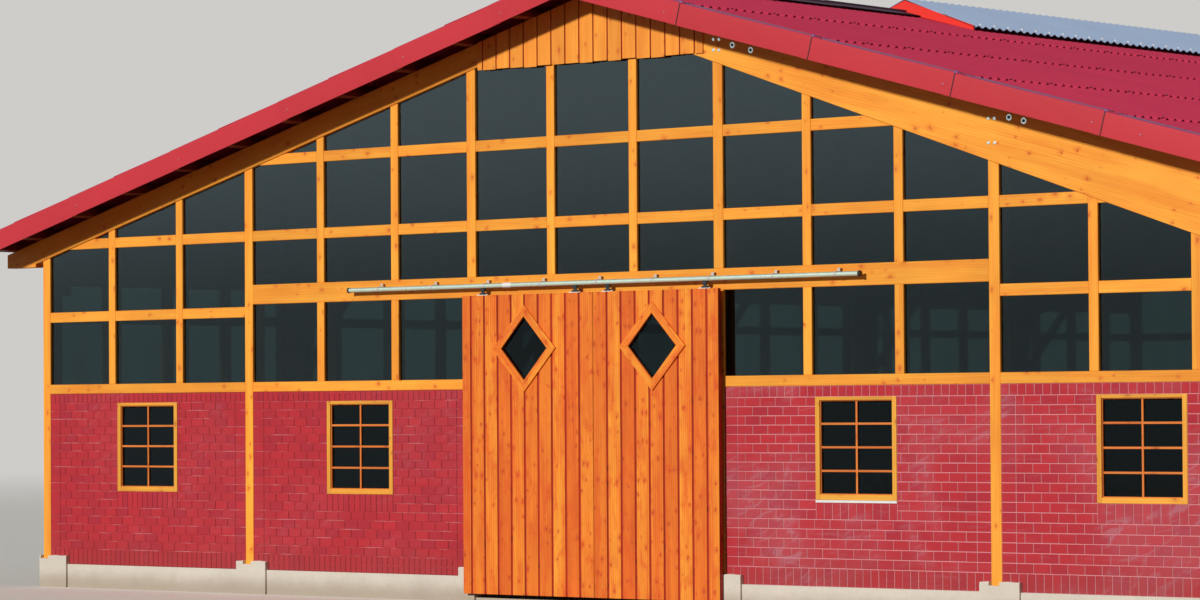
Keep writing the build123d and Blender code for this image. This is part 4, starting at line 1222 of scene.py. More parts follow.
def gable_board_cladding():
    """Upright boards over the rafters at the ridge, with open joints and an uneven foot, on a backing painted
    dark as the shade in the joints.
    """
    store, backing = Timbers(31), Timbers(32)
    low_corner, high_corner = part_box("gable_boards")
    left, right, foot = low_corner.x, high_corner.x, low_corner.z
    pitch, gap, first_joint, uneven, inset = 0.251, 0.022, 0.083, 0.022, 0.02
    board, lining = (-0.042, 0.016), (-0.026, 0.006)

    def top(x):
        return RAFTER_APEX - SLOPE * abs(x)

    def outline(x0, x1, low):
        peak = [(0, RAFTER_APEX)] if x0 < 0 < x1 else []
        return [(x0, low), (x1, low), (x1, top(x1)), *peak, (x0, top(x0))]

    joints = first_joint + pitch * np.arange(-9, 9)
    edges = [left] + [x for x in joints if left + 0.05 < x < right - 0.05] + [right]
    for end in (FRONT, REAR):
        for start, stop in zip(edges, edges[1:]):
            low = foot + store.random.uniform(0.0, uneven)
            gable_member(store, end, *board, outline(start + gap / 2, stop - gap / 2, low), UP)
        shape = outline(left + inset, right - inset, foot + 0.03)
        gable_member(backing, end, *lining, shape, UP, 0.0)
    store.piece("gable_cladding", "boards", "weathered_boards", replaced=["gable_boards"], edge=0.002)
    backing.piece("gable_cladding_backing", "groove", "weathered_boards", edge=0.001)


class HALL_OT_gable_timber(bpy.types.Operator):
    """Build the posts, beams, lattices, rafters and boards of both gables"""

    bl_idname = "hall.gable_timber"
    bl_label = "Gable timber"

    def execute(self, context):
        gable_posts()
        gable_beams()
        lattice(FRONT, "front_lattice", 24)
        lattice(REAR, "rear_lattice", 25)
        gable_rafters(FRONT, "front", 26)
        gable_rafters(REAR, "rear", 28)
        gable_board_cladding()
        return {"FINISHED"}


def side_framing():
    """Sills, plates, uprights and mid rails of the two long walls."""
    store, joint, setback = Timbers(41), 0.0015, 0.002
    spacing, half_width, splice = 1.25, MULLION_WIDTH / 2, 5.0
    lengths = (-SIDE_REACH, -splice, splice, SIDE_REACH)
    places = [spacing * i - GABLE for i in range(1, 24)]
    edges = [-SIDE_REACH, *[y + step * half_width for y in places for step in (-1, 1)], SIDE_REACH]
    for side in (-1, 1):
        def bar(near, depth, y0, y1, z0, z1, grain):
            low, high = sorted(side * (WALL_OUTSIDE - away) for away in (near, depth))
            store.bar((low, y0, z0), (high, y1, z1), grain)

        for bottom, top in ((SILL_BOTTOM, SILL_TOP), (PLATE_BOTTOM, PLATE_TOP)):
            for start, stop in zip(lengths, lengths[1:]):
                bar(0.0, SILL_DEPTH, start, stop, bottom, top, ALONG)
        for y in places:
            bar(0.0, MULLION_DEPTH, y - half_width, y + half_width, SILL_TOP, PLATE_BOTTOM, UP)
        rail = (LOW_TRANSOM, LOW_TRANSOM + TRANSOM_HEIGHT)
        for start, stop in zip(edges[::2], edges[1::2]):
            bar(setback, TRANSOM_DEPTH, start + joint, stop - joint, *rail, ALONG)
    store.piece("side_framing", "timber", "stained_timber", replaced=["side_wall_framing"])


class HALL_OT_side_walls(bpy.types.Operator):
    """Build the framing of the long walls and dress the inner frames"""

    bl_idname = "hall.side_walls"
    bl_label = "Long walls and inner frames"

    def execute(self, context):
        side_framing()
        dress("legs", "frame_legs")
        dress("left_rafters", "left_frame_rafters")
        dress("right_rafters", "right_frame_rafters")
        dress("braces", "knee_braces")
        dress("purlins", "purlins", "eave_boards")
        return {"FINISHED"}


# Windows and glass

def window_ring(store, end, depth, thickness, opening, side, head, recess=0.0):
    """Two uprights and two rails between them round an opening, given as (left, right, foot, top).

    The rails lie back by the recess. Returns the opening that is left.
    """
    x0, x1, z0, z1 = opening
    for left in (x0, x1 - side):
        gable_member(store, end, depth, thickness, rectangle(left, left + side, z0, z1), UP)
    for low, high in ((z0, z0 + side), (z1 - head, z1)):
        outline = rectangle(x0 + side, x1 - side, low, high)
        gable_member(store, end, depth + recess, thickness - recess, outline, LEVEL)
    return x0 + side, x1 - side, z0 + side, z1 - head


def window_timbers():
    """Small windows: a frame, a sash inside it, and bars of two by four panes."""
    frames, bars = Timbers(51), Timbers(52)
    jamb, head, sash, rows = 0.07, 0.045, 0.012, 4
    frame_depth, sash_depth = (-0.002, 0.08), (0.018, 0.042)
    upright_bar, level_bar = (0.022, 0.036), (0.023, 0.034)
    half_bar, half_width = bpy.context.scene.hall_sizes.bar_width / 2, WINDOW_WIDTH / 2
    for end in (FRONT, REAR):
        for x in map(column_x, WINDOW_COLUMNS):
            opening = (x - half_width, x + half_width, WINDOW_BOTTOM, WINDOW_TOP)
            inner = window_ring(frames, end, *frame_depth, opening, jamb, head, 0.001)
            x0, x1, z0, z1 = window_ring(bars, end, *sash_depth, inner, sash, sash)
            gable_member(bars, end, *upright_bar, rectangle(x - half_bar, x + half_bar, z0, z1), UP)
            for row in range(1, rows):
                z = inner[2] + (inner[3] - inner[2]) / rows * row
                for left, right in ((x0, x - half_bar), (x + half_bar, x1)):
                    outline = rectangle(left, right, z - half_bar, z + half_bar)
                    gable_member(bars, end, *level_bar, outline, LEVEL)
    frames.piece("window_frame_timbers", "window", "stained_timber", replaced=["window_frames"], edge=0.003)
    bars.piece("window_bars", "window_bar", "stained_timber", edge=0.002)
    white_sill_strip(column_x(WINDOW_COLUMNS[2]))


def white_sill_strip(x):
    """White strip under one window of the front."""
    strip, drop, gap = Timbers(53), 0.034, 0.002
    outline = rectangle(x - WINDOW_WIDTH / 2, x + WINDOW_WIDTH / 2, WINDOW_BOTTOM - drop, WINDOW_BOTTOM - gap)
    gable_member(strip, FRONT, -0.004, 0.012, outline, LEVEL)
    strip.piece("white_sill_strip", "white", "stained_timber", edge=0.002)


def gable_panes(end, name, seed):
    """Panes of a gable, let a little way into the timbers round them and set back from their face."""
    store, tuck, thickness = Timbers(seed), 0.004, 0.006
    for first in range(0, COLUMNS, BAY):
        foot, crossed = bay_foot(end, first)
        bars = [(height, height + TRANSOM_HEIGHT) for height in bay_transoms(end, first)]
        if crossed:
            bars.append((BEAM_BOTTOM, BEAM_TOP))
        starts = [foot] + [top for low, top in sorted(bars)]
        stops = [low for low, top in sorted(bars)] + [RAFTER_APEX]
        for left, right in cell_edges(first):
            for low, high in zip(starts, stops):
                outline = under_rafter(left - tuck, right + tuck, low - tuck, high + tuck)
                if outline:
                    gable_member(store, end, PANE_SETBACK, thickness, outline, UP)
    store.piece(name, "glass", "pane_glass", replaced=[f"{name.split('_')[0]}_glass"], edge=0.0005)


class HALL_OT_glazing(bpy.types.Operator):
    """Build the small windows' frames and bars and all panes of the gables"""

    bl_idname = "hall.glazing"
    bl_label = "Windows and glass"

    def execute(self, context):
        window_timbers()
        gable_panes(FRONT, "front_panes", 54)
        gable_panes(REAR, "rear_panes", 55)
        dress("glass", "side_wall_glass")
        # These panes take the glass darkened as painted shade of the room behind.
        dress("shade_darkened_glass", "window_glass", "left_diamond_glass", "right_diamond_glass")
        return {"FINISHED"}


# Roof

def roof_top(x):
    """Height of the roof's crests over a distance from the ridge."""
    return ROOF_APEX - SLOPE * x


def corrugated(side, start, stop, y0, y1, crest, sizes, lean=SLOPE, depth=SHEET_DEPTH, foot_lift=0.014):
    """Waved sheet from one distance from the ridge to another.

    Its height is the crest line less half the wave depth times one minus the cosine of the place along the
    ridge. The crests bend up a little at the foot, where they ride on the screws of the sheet below.
    """
    wave = sizes.wave_length
    thickness = sizes.sheet_thickness
    swing = depth - thickness
    columns = max(2, round((y1 - y0) / wave * 8) + 1)
    y = np.linspace(y0, y1, columns)
    down = np.array([start, stop])
    trough = (1 - np.cos(2 * pi * y / wave)) / 2
    lift = np.array([0.0, foot_lift])[:, None] * (1 - trough[None, :])
    top = crest(down)[:, None] - swing * trough[None, :] + lift
    x = np.broadcast_to(side * down[:, None], top.shape)
    grid = np.stack([x, np.broadcast_to(y, top.shape), top], -1)
    under = grid.copy()
    under[:, :, 2] -= thickness * np.hypot(1, lean)
    return skin(grid, under)


def roof_slope(side, sizes, seed):
    """Lapped courses of waved sheets, each with its foot over the head of the next one down."""
    random = np.random.default_rng(seed)
    places = [0.0, *LAP_PLACES, ROOF_EDGE]
    opening_reach, opening_side, lap = LIGHT_REACH - 0.2, 0.6, 0.13
    parts = []
    for number, (head, foot) in enumerate(zip(places, places[1:])):
        def crest(down, head=head, length=foot - head):
            return roof_top(down) + LAP_STEP * (down - head) / length

        if number:
            runs = [(head - lap, -ROOF_END, ROOF_END)]
        else:
            runs = [(0.0, -ROOF_END, -opening_reach), (0.0, opening_reach, ROOF_END),
                    (opening_side, -opening_reach, opening_reach)]
        for start, y0, y1 in runs:
            sheet = corrugated(side, start, foot, y0, y1, crest, sizes)
            parts.append((*sheet, random.uniform(0, 1)))
    return parts


def screw_rows(side, sizes):
    """Caps of the roof screws, every few crests, above each lap and at the eave."""
    wave = sizes.wave_length
    crests = np.arange(-int(ROOF_END / wave) + 1, int(ROOF_END / wave), sizes.screw_every) * wave
    rows = [place - 0.05 for place in LAP_PLACES] + [ROOF_EDGE - 0.3]
    centres = []
    for row in rows:
        height = roof_top(row) + LAP_STEP
        centres += [(side * row, y, height) for y in crests if row > 1.0 or abs(y) > LIGHT_REACH]
    axis = (side * sin(ROOF_ANGLE), 0.0, cos(ROOF_ANGLE))
    radius = sizes.screw_radius
    profile = [(-0.012, radius * 1.3), (0.001, radius * 1.3), (0.004, radius), (0.011, radius * 0.55)]
    return lathe(centres, axis, ALONG, profile, 8)


def verge_lengths(side):
    """Verge trims in lapped lengths: an angle with a rounded arris, carried down the slope.

    The seams stand square to the slope, and the ends at the ridge and at the eave stand upright.
    """
    height, cover, thickness, arris = 0.303, 0.2, 0.01, 0.03
    turn = np.linspace(0, pi / 2, 6)
    outer = [(0.0, height)] + [(arris * (1 - cos(a)), arris * (1 - sin(a))) for a in turn] + [(cover, 0.0)]
    inner = [(thickness, height)] + [(thickness + (arris - thickness) * (1 - cos(a)),
                                      thickness + (arris - thickness) * (1 - sin(a))) for a in turn]
    inner += [(cover, thickness)]
    apex = ROOF_APEX + LAP_STEP + thickness * ACROSS
    places = [0.0, *VERGE_LAPS[side], ROOF_EDGE]
    last = len(places) - 2
    parts, seams, clips, screws = [], [], [], []
    random = np.random.default_rng(71 + side)

    def carry(profile, end, down, square, tuck):
        inward, below = np.array(profile).T
        x = np.array(down)[:, None] - below[None, :] * sin(ROOF_ANGLE) * np.array(square)[:, None]
        z = apex - SLOPE * x - (below[None, :] + np.array(tuck)[:, None]) * ACROSS
        y = np.broadcast_to(end * (VERGE_FACE - inward[None, :] - np.array(tuck)[:, None]), z.shape)
        return np.stack([side * x, y, z], -1)

    for end in (FRONT, REAR):
        for number, (head, foot) in enumerate(zip(places, places[1:])):
            down = (head - (0.12 if number else 0.0), foot)
            square = (1.0 if number else 0.0, 0.0 if number == last else 1.0)
            tuck = (0.006 if number else 0.0, 0.0)
            faces = [carry(profile, end, down, square, tuck) for profile in (outer, inner)]
            parts.append((*skin(*faces), random.uniform(0.2, 0.8)))
            if number < last:
                # A dark strip over each seam: painted shade where the lap steps down.
                edges = (foot - 0.004, foot + 0.008)
                faces = [carry(outer, end, edges, (1.0, 1.0), (depth, depth)) for depth in (-0.001, 0.004)]
                seams.append(skin(*faces))
                # A bump at the top of each seam, coloured with a painted sheen of the sky.
                clip = (side * foot, end * (VERGE_FACE - 0.04), apex - SLOPE * foot)
                clips.append(lathe([clip], UP, LEVEL, [(-0.012, 0.036), (0.008, 0.032), (0.016, 0.016)], 8))
        screw_line = apex - 0.178 * ACROSS
        heads = [(side * x, end * VERGE_FACE, screw_line - SLOPE * x) for x in VERGE_SCREWS[side]]
        profile = [(-0.001, 0.016), (0.004, 0.016), (0.006, 0.01)]
        screws.append(lathe(heads, (0, end, 0), LEVEL, profile, 8))
    return parts, seams, clips, screws


def ridge_lengths():
    """Ridge caps: two flat legs with a round roll between them, lapped along the ridge."""
    leg, thickness, roll = 0.29, 0.012, 0.04
    apex = ROOF_APEX + LAP_STEP + 0.01 * ACROSS
    turn = np.linspace(-pi / 2 + 0.15, pi / 2 - 0.15, 9)
    half = [(-leg, -leg * SLOPE)]
    bow = [(roll * sin(a), roll * cos(a) - 0.012) for a in turn]
    line = np.array(half + [(-roll * 1.25, -roll * SLOPE * 1.1)] + bow + [(roll * 1.25, -roll * SLOPE * 1.1)]
                    + [(leg, -leg * SLOPE)])
    parts = []
    count = 4
    for end in (FRONT, REAR):
        edges = np.linspace(VERGE_FACE, LIGHT_REACH, count + 1)
        for number in range(count):
            y = np.array([edges[number], edges[number + 1] - (0.1 if number < count - 1 else 0.0)]) * end
            lift = np.array([0.008, 0.0])

            def carry(extra, y=y, lift=lift):
                z = apex + line[None, :, 1] + lift[:, None] + extra
                x = np.broadcast_to(line[:, 0], z.shape)
                return np.stack([x, np.broadcast_to(y[:, None], z.shape), z], -1)

            parts.append((*skin(carry(thickness), carry(0.0)), 0.3 + 0.1 * number))
    return parts


def light_ridge_parts(sizes):
    """Waved translucent sheets on the two slopes of the light ridge, which meet at its top."""
    def crest(down):
        return LIGHT_APEX - (LIGHT_SLOPE + LIGHT_SAG) * down

    span, depth = (0.0, LIGHT_HALF, -LIGHT_REACH, LIGHT_REACH), 0.04
    return [corrugated(side, *span, crest, sizes, LIGHT_SLOPE, depth, 0.0) for side in (-1, 1)]


def light_ridge_screws(sizes):
    """Pale screw caps on every second crest near the lower edges of the light ridge."""
    wave = sizes.wave_length
    crests = np.arange(-int(LIGHT_REACH / wave) + 1, int(LIGHT_REACH / wave), 2) * wave
    down = LIGHT_HALF - 0.09
    height = LIGHT_APEX - (LIGHT_SLOPE + LIGHT_SAG) * down
    centres = [(side * down, y, height) for side in (-1, 1) for y in crests]
    return lathe(centres, UP, LEVEL, [(-0.01, 0.022), (0.006, 0.022), (0.012, 0.012)], 8)


class HALL_OT_roof(bpy.types.Operator):
    """Lay the roof sheets, screws, verge trims, ridge caps and light ridge"""

    bl_idname = "hall.roof"
    bl_label = "Roof"

    def execute(self, context):
        sizes = context.scene.hall_sizes
        for side, name in SIDES:
            quad_piece(f"{name}_waved_sheets", roof_slope(side, sizes, 61 + side), "roof",
                       replaced=[f"{name}_roof_sheets"], smooth=50)
            quad_piece(f"{name}_roof_screws", [screw_rows(side, sizes)], "roof_caps",
                       smooth=40)
            lengths, seams, clips, screws = verge_lengths(side)
            quad_piece(f"{name}_verge_lengths", lengths, "verge",
                       replaced=[f"{name}_verge_trims"], smooth=35)
            if side > 0:
                # The seam strips carry painted shade of the laps.
                quad_piece(f"{name}_verge_seams", seams, "seam_shade", smooth=35)
                quad_piece(f"{name}_verge_clips", clips, "clip", smooth=35)
            quad_piece(f"{name}_verge_screws", screws, "screw", smooth=35)
        quad_piece("ridge_cap_lengths", ridge_lengths(), "ridge", replaced=["ridge_caps"],
                   smooth=35)
        quad_piece("light_ridge_waves", light_ridge_parts(sizes), "light_sheet",
                   replaced=["light_ridge_sheets"], smooth=50)
        quad_piece("light_ridge_screws", [light_ridge_screws(sizes)], "white", smooth=40)
        dress("light_end", "light_ridge_ends")
        dress("purlins", "light_ridge_kerbs")
        return {"FINISHED"}


# Doors

def diamond_edges(center, middle, half_width, half_height):
    """Corners of a square stood on its corner, from the left one round by the foot."""
    return [(center - half_width, middle), (center, middle - half_height), (center + half_width, middle),
            (center, middle + half_height)]


def cut_by_diamond(x0, x1, low, high, center, middle, half_width, half_height):
    """Board with the diamond opening taken out: the parts of its outline above and below the opening."""
    def reach(x):
        return max(0.0, half_height * (1 - abs(x - center) / half_width))

    if x1 <= center - half_width or x0 >= center + half_width:
        return [[(x0, low), (x1, low), (x1, high), (x0, high)]]
    turns = (center - half_width, center, center + half_width)
    corners = sorted({x0, x1, *[x for x in turns if x0 < x < x1]})
    lower = [(x0, low), (x1, low)] + [(x, middle - reach(x)) for x in reversed(corners)]
    upper = [(x0, high), (x1, high)] + [(x, middle + reach(x)) for x in reversed(corners)]
    return [lower, upper]


def leaf_joints(side):
    """Joints between the cover boards of a leaf, counted from one joint that both leaves share."""
    pitch = bpy.context.scene.hall_sizes.board_pitch
    left, right = LEAF_SPANS[side]
    joints = 0.134 + pitch * np.arange(-10, 10)
    return [left] + [float(x) for x in joints if left + 0.05 < x < right - 0.05] + [right]


def door_boards(side, window):
    """Cover boards over a boarded sheet painted dark as the shade in the grooves, cut round the diamond
    window.
    """
    store, sheets = Timbers(81 if side == "left" else 82), Timbers(87)
    groove = bpy.context.scene.hall_sizes.groove_width
    edges = leaf_joints(side)
    left, right = LEAF_SPANS[side]
    sheet, face, front = LEAF_BACK - 0.04, LEAF_BACK - 0.054, LEAF_BACK - 0.066
    for number, (start, stop) in enumerate(zip(edges, edges[1:])):
        x0 = start + (groove / 2 if start > left else 0)
        x1 = stop - (groove / 2 if stop < right else 0)
        swing = 0.34 * sin(number * 2.4 + (0.7 if side == "left" else 2.9))
        shade = float(np.clip(0.42 + swing + store.random.uniform(-0.1, 0.1), 0, 1))
        for outline in cut_by_diamond(x0, x1, LEAF_BOTTOM, LEAF_TOP, *window):
            store.add([(x, front, z) for x, z in outline], (0, face - front, 0), UP, shade)
    middles = [left] + [(a + b) / 2 for a, b in zip(edges, edges[1:])][1:-1] + [right]
    gap, inset = 0.001, 0.002
    for start, stop in zip(middles, middles[1:]):
        span = (start + gap, stop - gap, LEAF_BOTTOM + inset, LEAF_TOP - inset)
        for outline in cut_by_diamond(*span, *window):
            sheets.add([(x, face, z) for x, z in outline], (0, sheet - face, 0), UP)
    store.piece(f"{side}_door_boards", "doors", "stained_door_boards", f"{side}_leaf",
                replaced=[f"{side}_leaf_boards"], edge=0.003)
    sheets.piece(f"{side}_door_sheet", "groove", "stained_door_boards", f"{side}_leaf", edge=0.001)


def door_frame(side):
    """Frame behind the boards: two stiles and four rails."""
    store = Timbers(83 if side == "left" else 84)
    left, right = LEAF_SPANS[side]
    back, front, stile = LEAF_BACK, LEAF_BACK - 0.04, 0.14
    for x in (left, right - stile):
        store.bar((x, front, LEAF_BOTTOM), (x + stile, back, LEAF_TOP), UP)
    rails = (LEAF_BOTTOM, LEAF_BOTTOM + 1.43, LEAF_BOTTOM + 2.71, LEAF_TOP - stile)
    for z in rails:
        store.bar((left + stile, front, z), (right - stile, back, z + stile), LEVEL)
    store.piece(f"{side}_door_frame", "leaf_frame", "stained_door_boards", f"{side}_leaf",
                replaced=[f"{side}_leaf_frame"])


def diamond_trim(side, window):
    """Four mitred boards round the diamond window."""
    store = Timbers(85 if side == "left" else 86)
    outer_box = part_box(f"{side}_diamond_trim")
    center, middle, half_width, half_height = window
    wide = (outer_box[1].x - outer_box[0].x) / 2
    tall = (outer_box[1].z - outer_box[0].z) / 2
    outer = diamond_edges(center, middle, wide, tall)
    inner = diamond_edges(center, middle, half_width - 0.006, half_height - 0.006)
    front, back = outer_box[0].y, outer_box[1].y
    for i in range(4):
        ring = [outer[i], outer[(i + 1) % 4], inner[(i + 1) % 4], inner[i]]
        grain = (outer[(i + 1) % 4][0] - outer[i][0], 0, outer[(i + 1) % 4][1] - outer[i][1])
        store.add([(x, front, z) for x, z in ring], (0, back - front, 0), grain, 0.15 + 0.1 * (i % 2))
    store.piece(f"{side}_diamond_boards", "doors", "stained_door_boards", f"{side}_leaf",
                replaced=[f"{side}_diamond_trim"], edge=0.003)


class HALL_OT_doors(bpy.types.Operator):
    """Build the two sliding leaves with their boards, frames and diamond windows"""

    bl_idname = "hall.doors"
    bl_label = "Doors"

    def execute(self, context):
        for side in ("left", "right"):
            low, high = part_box(f"{side}_diamond_glass")
            window = ((low.x + high.x) / 2, (low.z + high.z) / 2, (high.x - low.x) / 2, (high.z - low.z) / 2)
            door_boards(side, window)
            door_frame(side)
            diamond_trim(side, window)
        return {"FINISHED"}


# Ironwork

def block(low, high):
    """Closed block between two corners, as a skin."""
    x0, y0, z0 = low
    x1, y1, z1 = high
    base = np.array([[(x0, y0, z0), (x1, y0, z0)], [(x0, y1, z0), (x1, y1, z0)]], float)
    top = base.copy()
    top[:, :, 2] = z1
    return skin(top, base)


def saddle(x, width):
    """Strap bent over the top half of the track tube, from an arc of its radius to one a plate thicker."""
    turn = np.radians(np.linspace(-70, 200, 16))
    rings = []
    for radius in (TRACK_RADIUS + 0.005, TRACK_RADIUS + 0.0005):
        y, z = TRACK_Y + radius * np.cos(turn), TRACK_Z + radius * np.sin(turn)
        rings.append(np.stack([np.stack([np.full(16, place), y, z], -1)
                               for place in (x - width / 2, x + width / 2)]))
    return skin(*rings)


def bracket_parts(x):
    """Bracket: a folded plate on two legs off the beam, an arm out from it, and a saddle over the tube."""
    half_width, half_height, sheet, stand_off = 0.02, 0.04, 0.006, 0.052
    left, right, top = x - half_width, x + half_width, TRACK_Z + TRACK_RADIUS + 0.008
    plate, back = -GABLE - stand_off, -GABLE - stand_off + sheet
    low, high = top - half_height, top + half_height
    heads = [(x, plate, top + step) for step in (-0.024, 0.024)]
    return [block((left, plate, low), (right, back, high)),
            block((left, back, high - sheet), (right, -GABLE, high)),
            block((left, back, low), (right, -GABLE, low + sheet)),
            block((left, TRACK_Y, top - 0.007), (right, plate, top)),
            saddle(x, right - left),
            lathe(heads, (0, -1, 0), LEVEL, [(-0.002, 0.009), (0.005, 0.009), (0.007, 0.007)], 6)]


def on_track(x, half_length, half_depth, low, high):
    """Block under the track's line, between two levels."""
    return block((x - half_length, TRACK_Y - half_depth, low), (x + half_length, TRACK_Y + half_depth, high))


def hanger_parts(x):
    """Hanger on a leaf: a pale base plate, a dark block, a neck up into the tube, and rollers inside it."""
    plate, under = LEAF_TOP + 0.008, TRACK_Z - TRACK_RADIUS
    bolts = [(x + step, TRACK_Y, plate) for step in (-0.075, 0.075)]
    rollers = [(x, TRACK_Y + step, TRACK_Z - 0.001) for step in (-0.021, 0.011)]
    tread = [(0, 0.0145), (0.001, 0.0165), (0.009, 0.0165), (0.01, 0.0145)]
    steel = [on_track(x, 0.095, 0.03, LEAF_TOP, plate),
             lathe(bolts, UP, LEVEL, [(-0.001, 0.011), (0.007, 0.011), (0.009, 0.008)], 6)]
    dark = [on_track(x, 0.045, 0.022, plate, LEAF_TOP + 0.034),
            on_track(x, 0.03, 0.005, LEAF_TOP + 0.02, TRACK_Z),
            on_track(x, 0.04, 0.018, under - 0.03, under - 0.006),
            lathe(rollers, ALONG, LEVEL, tread, 16)]
    return steel, dark


def rafter_bolts():
    """Ring washers with dark bolts, and pairs of plain heads, where the right rafter meets its posts."""
    rings = [(2.466, 7.357), (2.77, 7.272), (6.828, 6.187), (7.047, 6.133)]
    heads = [(2.148, 7.452), (2.242, 7.446), (2.147, 7.312), (2.241, 7.306),
             (6.519, 6.19), (6.609, 6.186), (6.516, 5.889), (6.611, 5.884)]
    washer = [(-0.002, 0.042), (0.004, 0.042), (0.006, 0.039), (0.006, 0.02)]
    bolt = [(0.002, 0.019), (0.013, 0.019), (0.016, 0.015)]
    head = [(-0.002, 0.023), (0.006, 0.023), (0.009, 0.018)]
    pale, dark = [], []
    for end in (FRONT, REAR):
        face = end * (GABLE + RAFTER_PROUD)
        at_rings = [(x, face, z) for x, z in rings]
        at_heads = [(x, face, z) for x, z in heads]
        rows = ((pale, at_rings, washer), (pale, at_heads, head), (dark, at_rings, bolt))
        for store, centres, profile in rows:
            store.append(lathe(centres, (0, end, 0), LEVEL, profile, 16))
    return pale, dark


class HALL_OT_ironwork(bpy.types.Operator):
    """Build the track's brackets and sleeve, the door hangers, the rafter bolts and the lamp"""

    bl_idname = "hall.ironwork"
    bl_label = "Ironwork"

    def execute(self, context):
        dress("steel", "door_track")
        wide = TRACK_RADIUS + 0.004
        profile = [(-0.08, TRACK_RADIUS), (-0.079, wide), (0.079, wide), (0.08, TRACK_RADIUS)]
        sleeve = lathe([(SLEEVE_X, TRACK_Y, TRACK_Z)], LEVEL, UP, profile, 24)
        quad_piece("track_sleeve", [sleeve], "white", smooth=30)
        low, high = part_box("door_track")
        ends = [(x, TRACK_Y, TRACK_Z) for x in (low.x + 0.01, high.x - 0.01)]
        wide = TRACK_RADIUS + 0.006
        profile = [(-0.016, wide - 0.003), (-0.013, wide), (0.013, wide), (0.016, wide - 0.003)]
        stops = lathe(ends, LEVEL, UP, profile, 24)
        quad_piece("track_end_stops", [stops], "black", smooth=30)
        parts = [part for number in BRACKET_COLUMNS for part in bracket_parts(column_x(number))]
        quad_piece("saddle_brackets", parts, "bracket", replaced=["track_brackets"],
                   smooth=30)
        for side, places in HANGER_PLACES.items():
            made = [hanger_parts(x) for x in places]
            quad_piece(f"{side}_hanger_plates", [part for steel, dark in made for part in steel], "white",
                       f"{side}_leaf", [f"{side}_door_hangers"], 30)
            quad_piece(f"{side}_hanger_rollers", [part for steel, dark in made for part in dark], "black",
                       f"{side}_leaf", (), 30)
        pale, dark = rafter_bolts()
        quad_piece("rafter_washers", pale, "washer", smooth=30)
        quad_piece("rafter_bolts", dark, "black", smooth=30)
        self.lamp(*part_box("wall_lamp"))
        return {"FINISHED"}

    def lamp(self, low, high):
        """Lamp: a housing that narrows outwards, with a rim and a lens set into its lower half."""
        x = np.linspace(high.x, low.x, 5)
        narrow = np.array([0.0, 0.004, 0.008, 0.016, 0.03])
        rows = [[(a, low.y + n, low.z + n), (a, high.y - n, low.z + n), (a, high.y - n, high.z - n),
                 (a, low.y + n, high.z - n), (a, low.y + n, low.z + n)] for a, n in zip(x, narrow)]
        grid = np.array(rows)
        centre = (grid[:, 0] + grid[:, 2]) / 2
        inside = centre[:, None, :] + (grid - centre[:, None, :]) * 0.9
        housing = skin(grid, inside)
        rim = 0.034
        lens = block((low.x + 0.002, low.y + rim, low.z + rim), (low.x + 0.012, high.y - rim, high.z - rim))
        quad_piece("lamp_body", [housing, lens], "lamp", replaced=["wall_lamp"])


# Stage

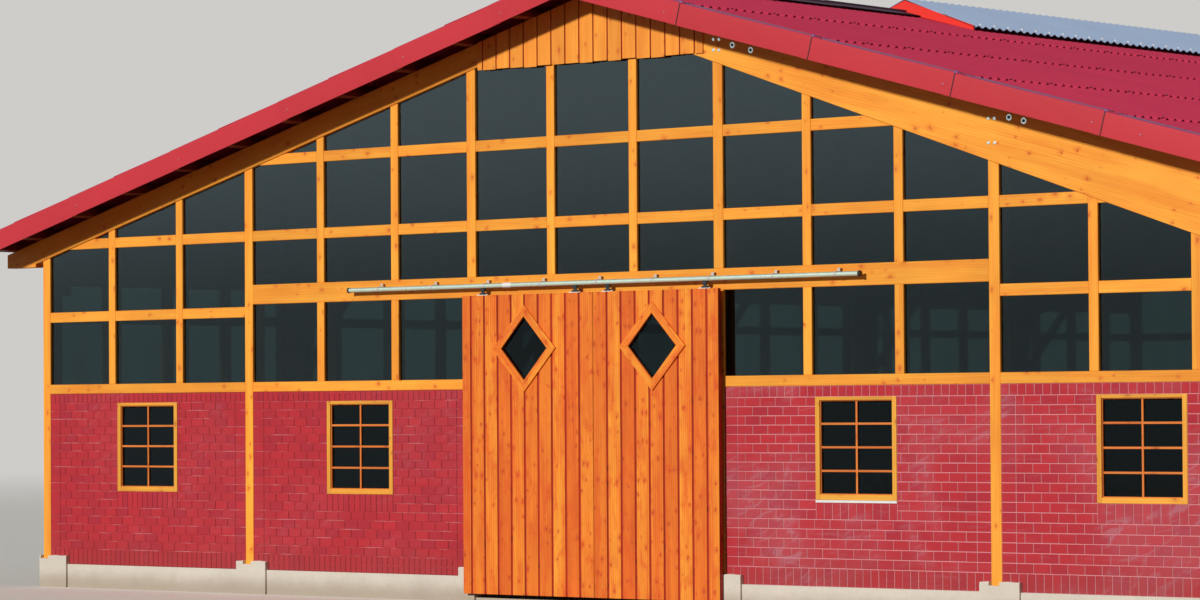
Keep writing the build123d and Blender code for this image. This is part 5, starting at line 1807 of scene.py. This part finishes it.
class HALL_OT_stage(bpy.types.Operator):
    """Set up the camera, the sun, the pale surroundings and the floor"""

    bl_idname = "hall.stage"
    bl_label = "Stage"

    def execute(self, context):
        settings, colours = context.scene.hall_stage, context.scene.hall_colours
        camera = bpy.data.objects.new("camera", bpy.data.cameras.new("camera"))
        camera.data.lens = settings.camera_lens
        camera.data.sensor_width = SENSOR_WIDTH
        camera.data.shift_y = settings.camera_shift
        camera.data.clip_start, camera.data.clip_end = CAMERA_CLIP
        turn = (Matrix.Rotation(settings.camera_turn, 4, "Z")
                @ Matrix.Rotation(pi / 2 + settings.camera_rise, 4, "X")
                @ Matrix.Rotation(settings.camera_roll, 4, "Z"))
        camera.matrix_world = Matrix.Translation(settings.camera_place) @ turn
        context.scene.collection.objects.link(camera)
        context.scene.camera = camera

        sun = bpy.data.objects.new("sun", bpy.data.lights.new("sun", "SUN"))
        sun.data.energy = settings.sun_strength
        sun.data.angle = settings.sun_softness
        sun.data.color = SUN_TINT
        sun.matrix_world = (Matrix.Rotation(-settings.sun_turn, 4, "Z")
                            @ Matrix.Rotation(pi / 2 - settings.sun_height, 4, "X"))
        context.scene.collection.objects.link(sun)

        self.surroundings(context.scene, settings)
        self.floor(settings, colours)
        context.scene.view_settings.view_transform = "Standard"
        return {"FINISHED"}

    def surroundings(self, scene, settings):
        """World: soft light from all round, and a plain pale tone wherever rays look past the hall."""
        world = bpy.data.worlds.new("surroundings")
        world.use_nodes = True
        tree = world.node_tree
        tree.nodes.clear()
        ray = node(tree, "LightPath")
        seen = calc(tree, "MAXIMUM", ray.outputs["Is Camera Ray"], ray.outputs["Is Glossy Ray"])
        seen = calc(tree, "MAXIMUM", seen, ray.outputs["Is Transmission Ray"])
        soft = node(tree, "Background", {"Color": SKY_TINT, "Strength": settings.sky_strength})
        tint = mix(tree, ray.outputs["Is Glossy Ray"], BACKDROP_TINT, MIRROR_TINT)
        plain = node(tree, "Background", {"Color": tint, "Strength": settings.backdrop})
        both = node(tree, "MixShader", {0: seen, 1: soft.outputs[0], 2: plain.outputs[0]})
        tree.links.new(both.outputs[0], node(tree, "OutputWorld").inputs["Surface"])
        scene.world = world

    def floor(self, settings, colours):
        """Pale floor that fades into the backdrop, and lights the hall no more than dry ground would."""
        corners = rectangle(-FLOOR_REACH, FLOOR_REACH, -FLOOR_REACH, FLOOR_REACH)
        mesh = bpy.data.meshes.new("stage_floor")
        mesh.from_pydata([(x, y, 0) for x, y in corners], [], [(0, 1, 2, 3)])
        floor = bpy.data.objects.new("stage_floor", mesh)
        bpy.context.scene.collection.objects.link(floor)
        material, tree, shader = start_material("stage_floor")
        ray = node(tree, "LightPath")
        shade = use_group(tree, "mottling", {"Coordinates": place(tree), "Color": colours.floor,
                                             "Scale": 0.05, "Amount": 0.02})
        feed(tree, shader, mix(tree, ray.outputs["Is Diffuse Ray"], shade["Color"], colours.ground), 0.9)
        away = node(tree, "VectorMath", {0: place(tree)}, operation="LENGTH").outputs["Value"]
        fade = inverse(tree, ease(tree, away, settings.floor_near, settings.floor_far))
        tree.links.new(fade, shader.inputs["Alpha"])
        mesh.materials.append(material)


class HALL_OT_finishes(bpy.types.Operator):
    """Make every material of the hall"""

    bl_idname = "hall.finishes"
    bl_label = "Finishes"

    def execute(self, context):
        colours = context.scene.hall_colours
        build_groups()
        made = build_materials(colours)
        MATERIAL_NAMES.update({short: material.name for short, material in made.items()})
        return {"FINISHED"}


class HALL_PT_sidebar(bpy.types.Panel):
    """Lists the settings and the steps that build the hall's looks"""

    bl_idname = "HALL_PT_sidebar"
    bl_label = "Riding Hall"
    bl_space_type = "VIEW_3D"
    bl_region_type = "UI"
    bl_category = "Riding Hall"

    def draw(self, context):
        scene = context.scene
        for step in STEPS:
            self.layout.operator(step.bl_idname)
        for group in (scene.hall_sizes, scene.hall_colours, scene.hall_stage):
            box = self.layout.box()
            for name in group.__annotations__:
                box.prop(group, name)


STEPS = (HALL_OT_finishes, HALL_OT_stage, HALL_OT_concrete, HALL_OT_brickwork, HALL_OT_gable_timber,
         HALL_OT_side_walls, HALL_OT_glazing, HALL_OT_roof, HALL_OT_doors, HALL_OT_ironwork)
CLASSES = (HallSizes, HallColours, HallStage, *STEPS, HALL_PT_sidebar)


def register():
    for item in CLASSES:
        bpy.utils.register_class(item)
    bpy.types.Scene.hall_sizes = PointerProperty(type=HallSizes)
    bpy.types.Scene.hall_colours = PointerProperty(type=HallColours)
    bpy.types.Scene.hall_stage = PointerProperty(type=HallStage)


def unregister():
    del bpy.types.Scene.hall_stage
    del bpy.types.Scene.hall_colours
    del bpy.types.Scene.hall_sizes
    for item in reversed(CLASSES):
        bpy.utils.unregister_class(item)


def main():
    register()
    for step in STEPS:
        group, name = step.bl_idname.split(".")
        getattr(getattr(bpy.ops, group), name)()


if __name__ == "__main__":
    main()
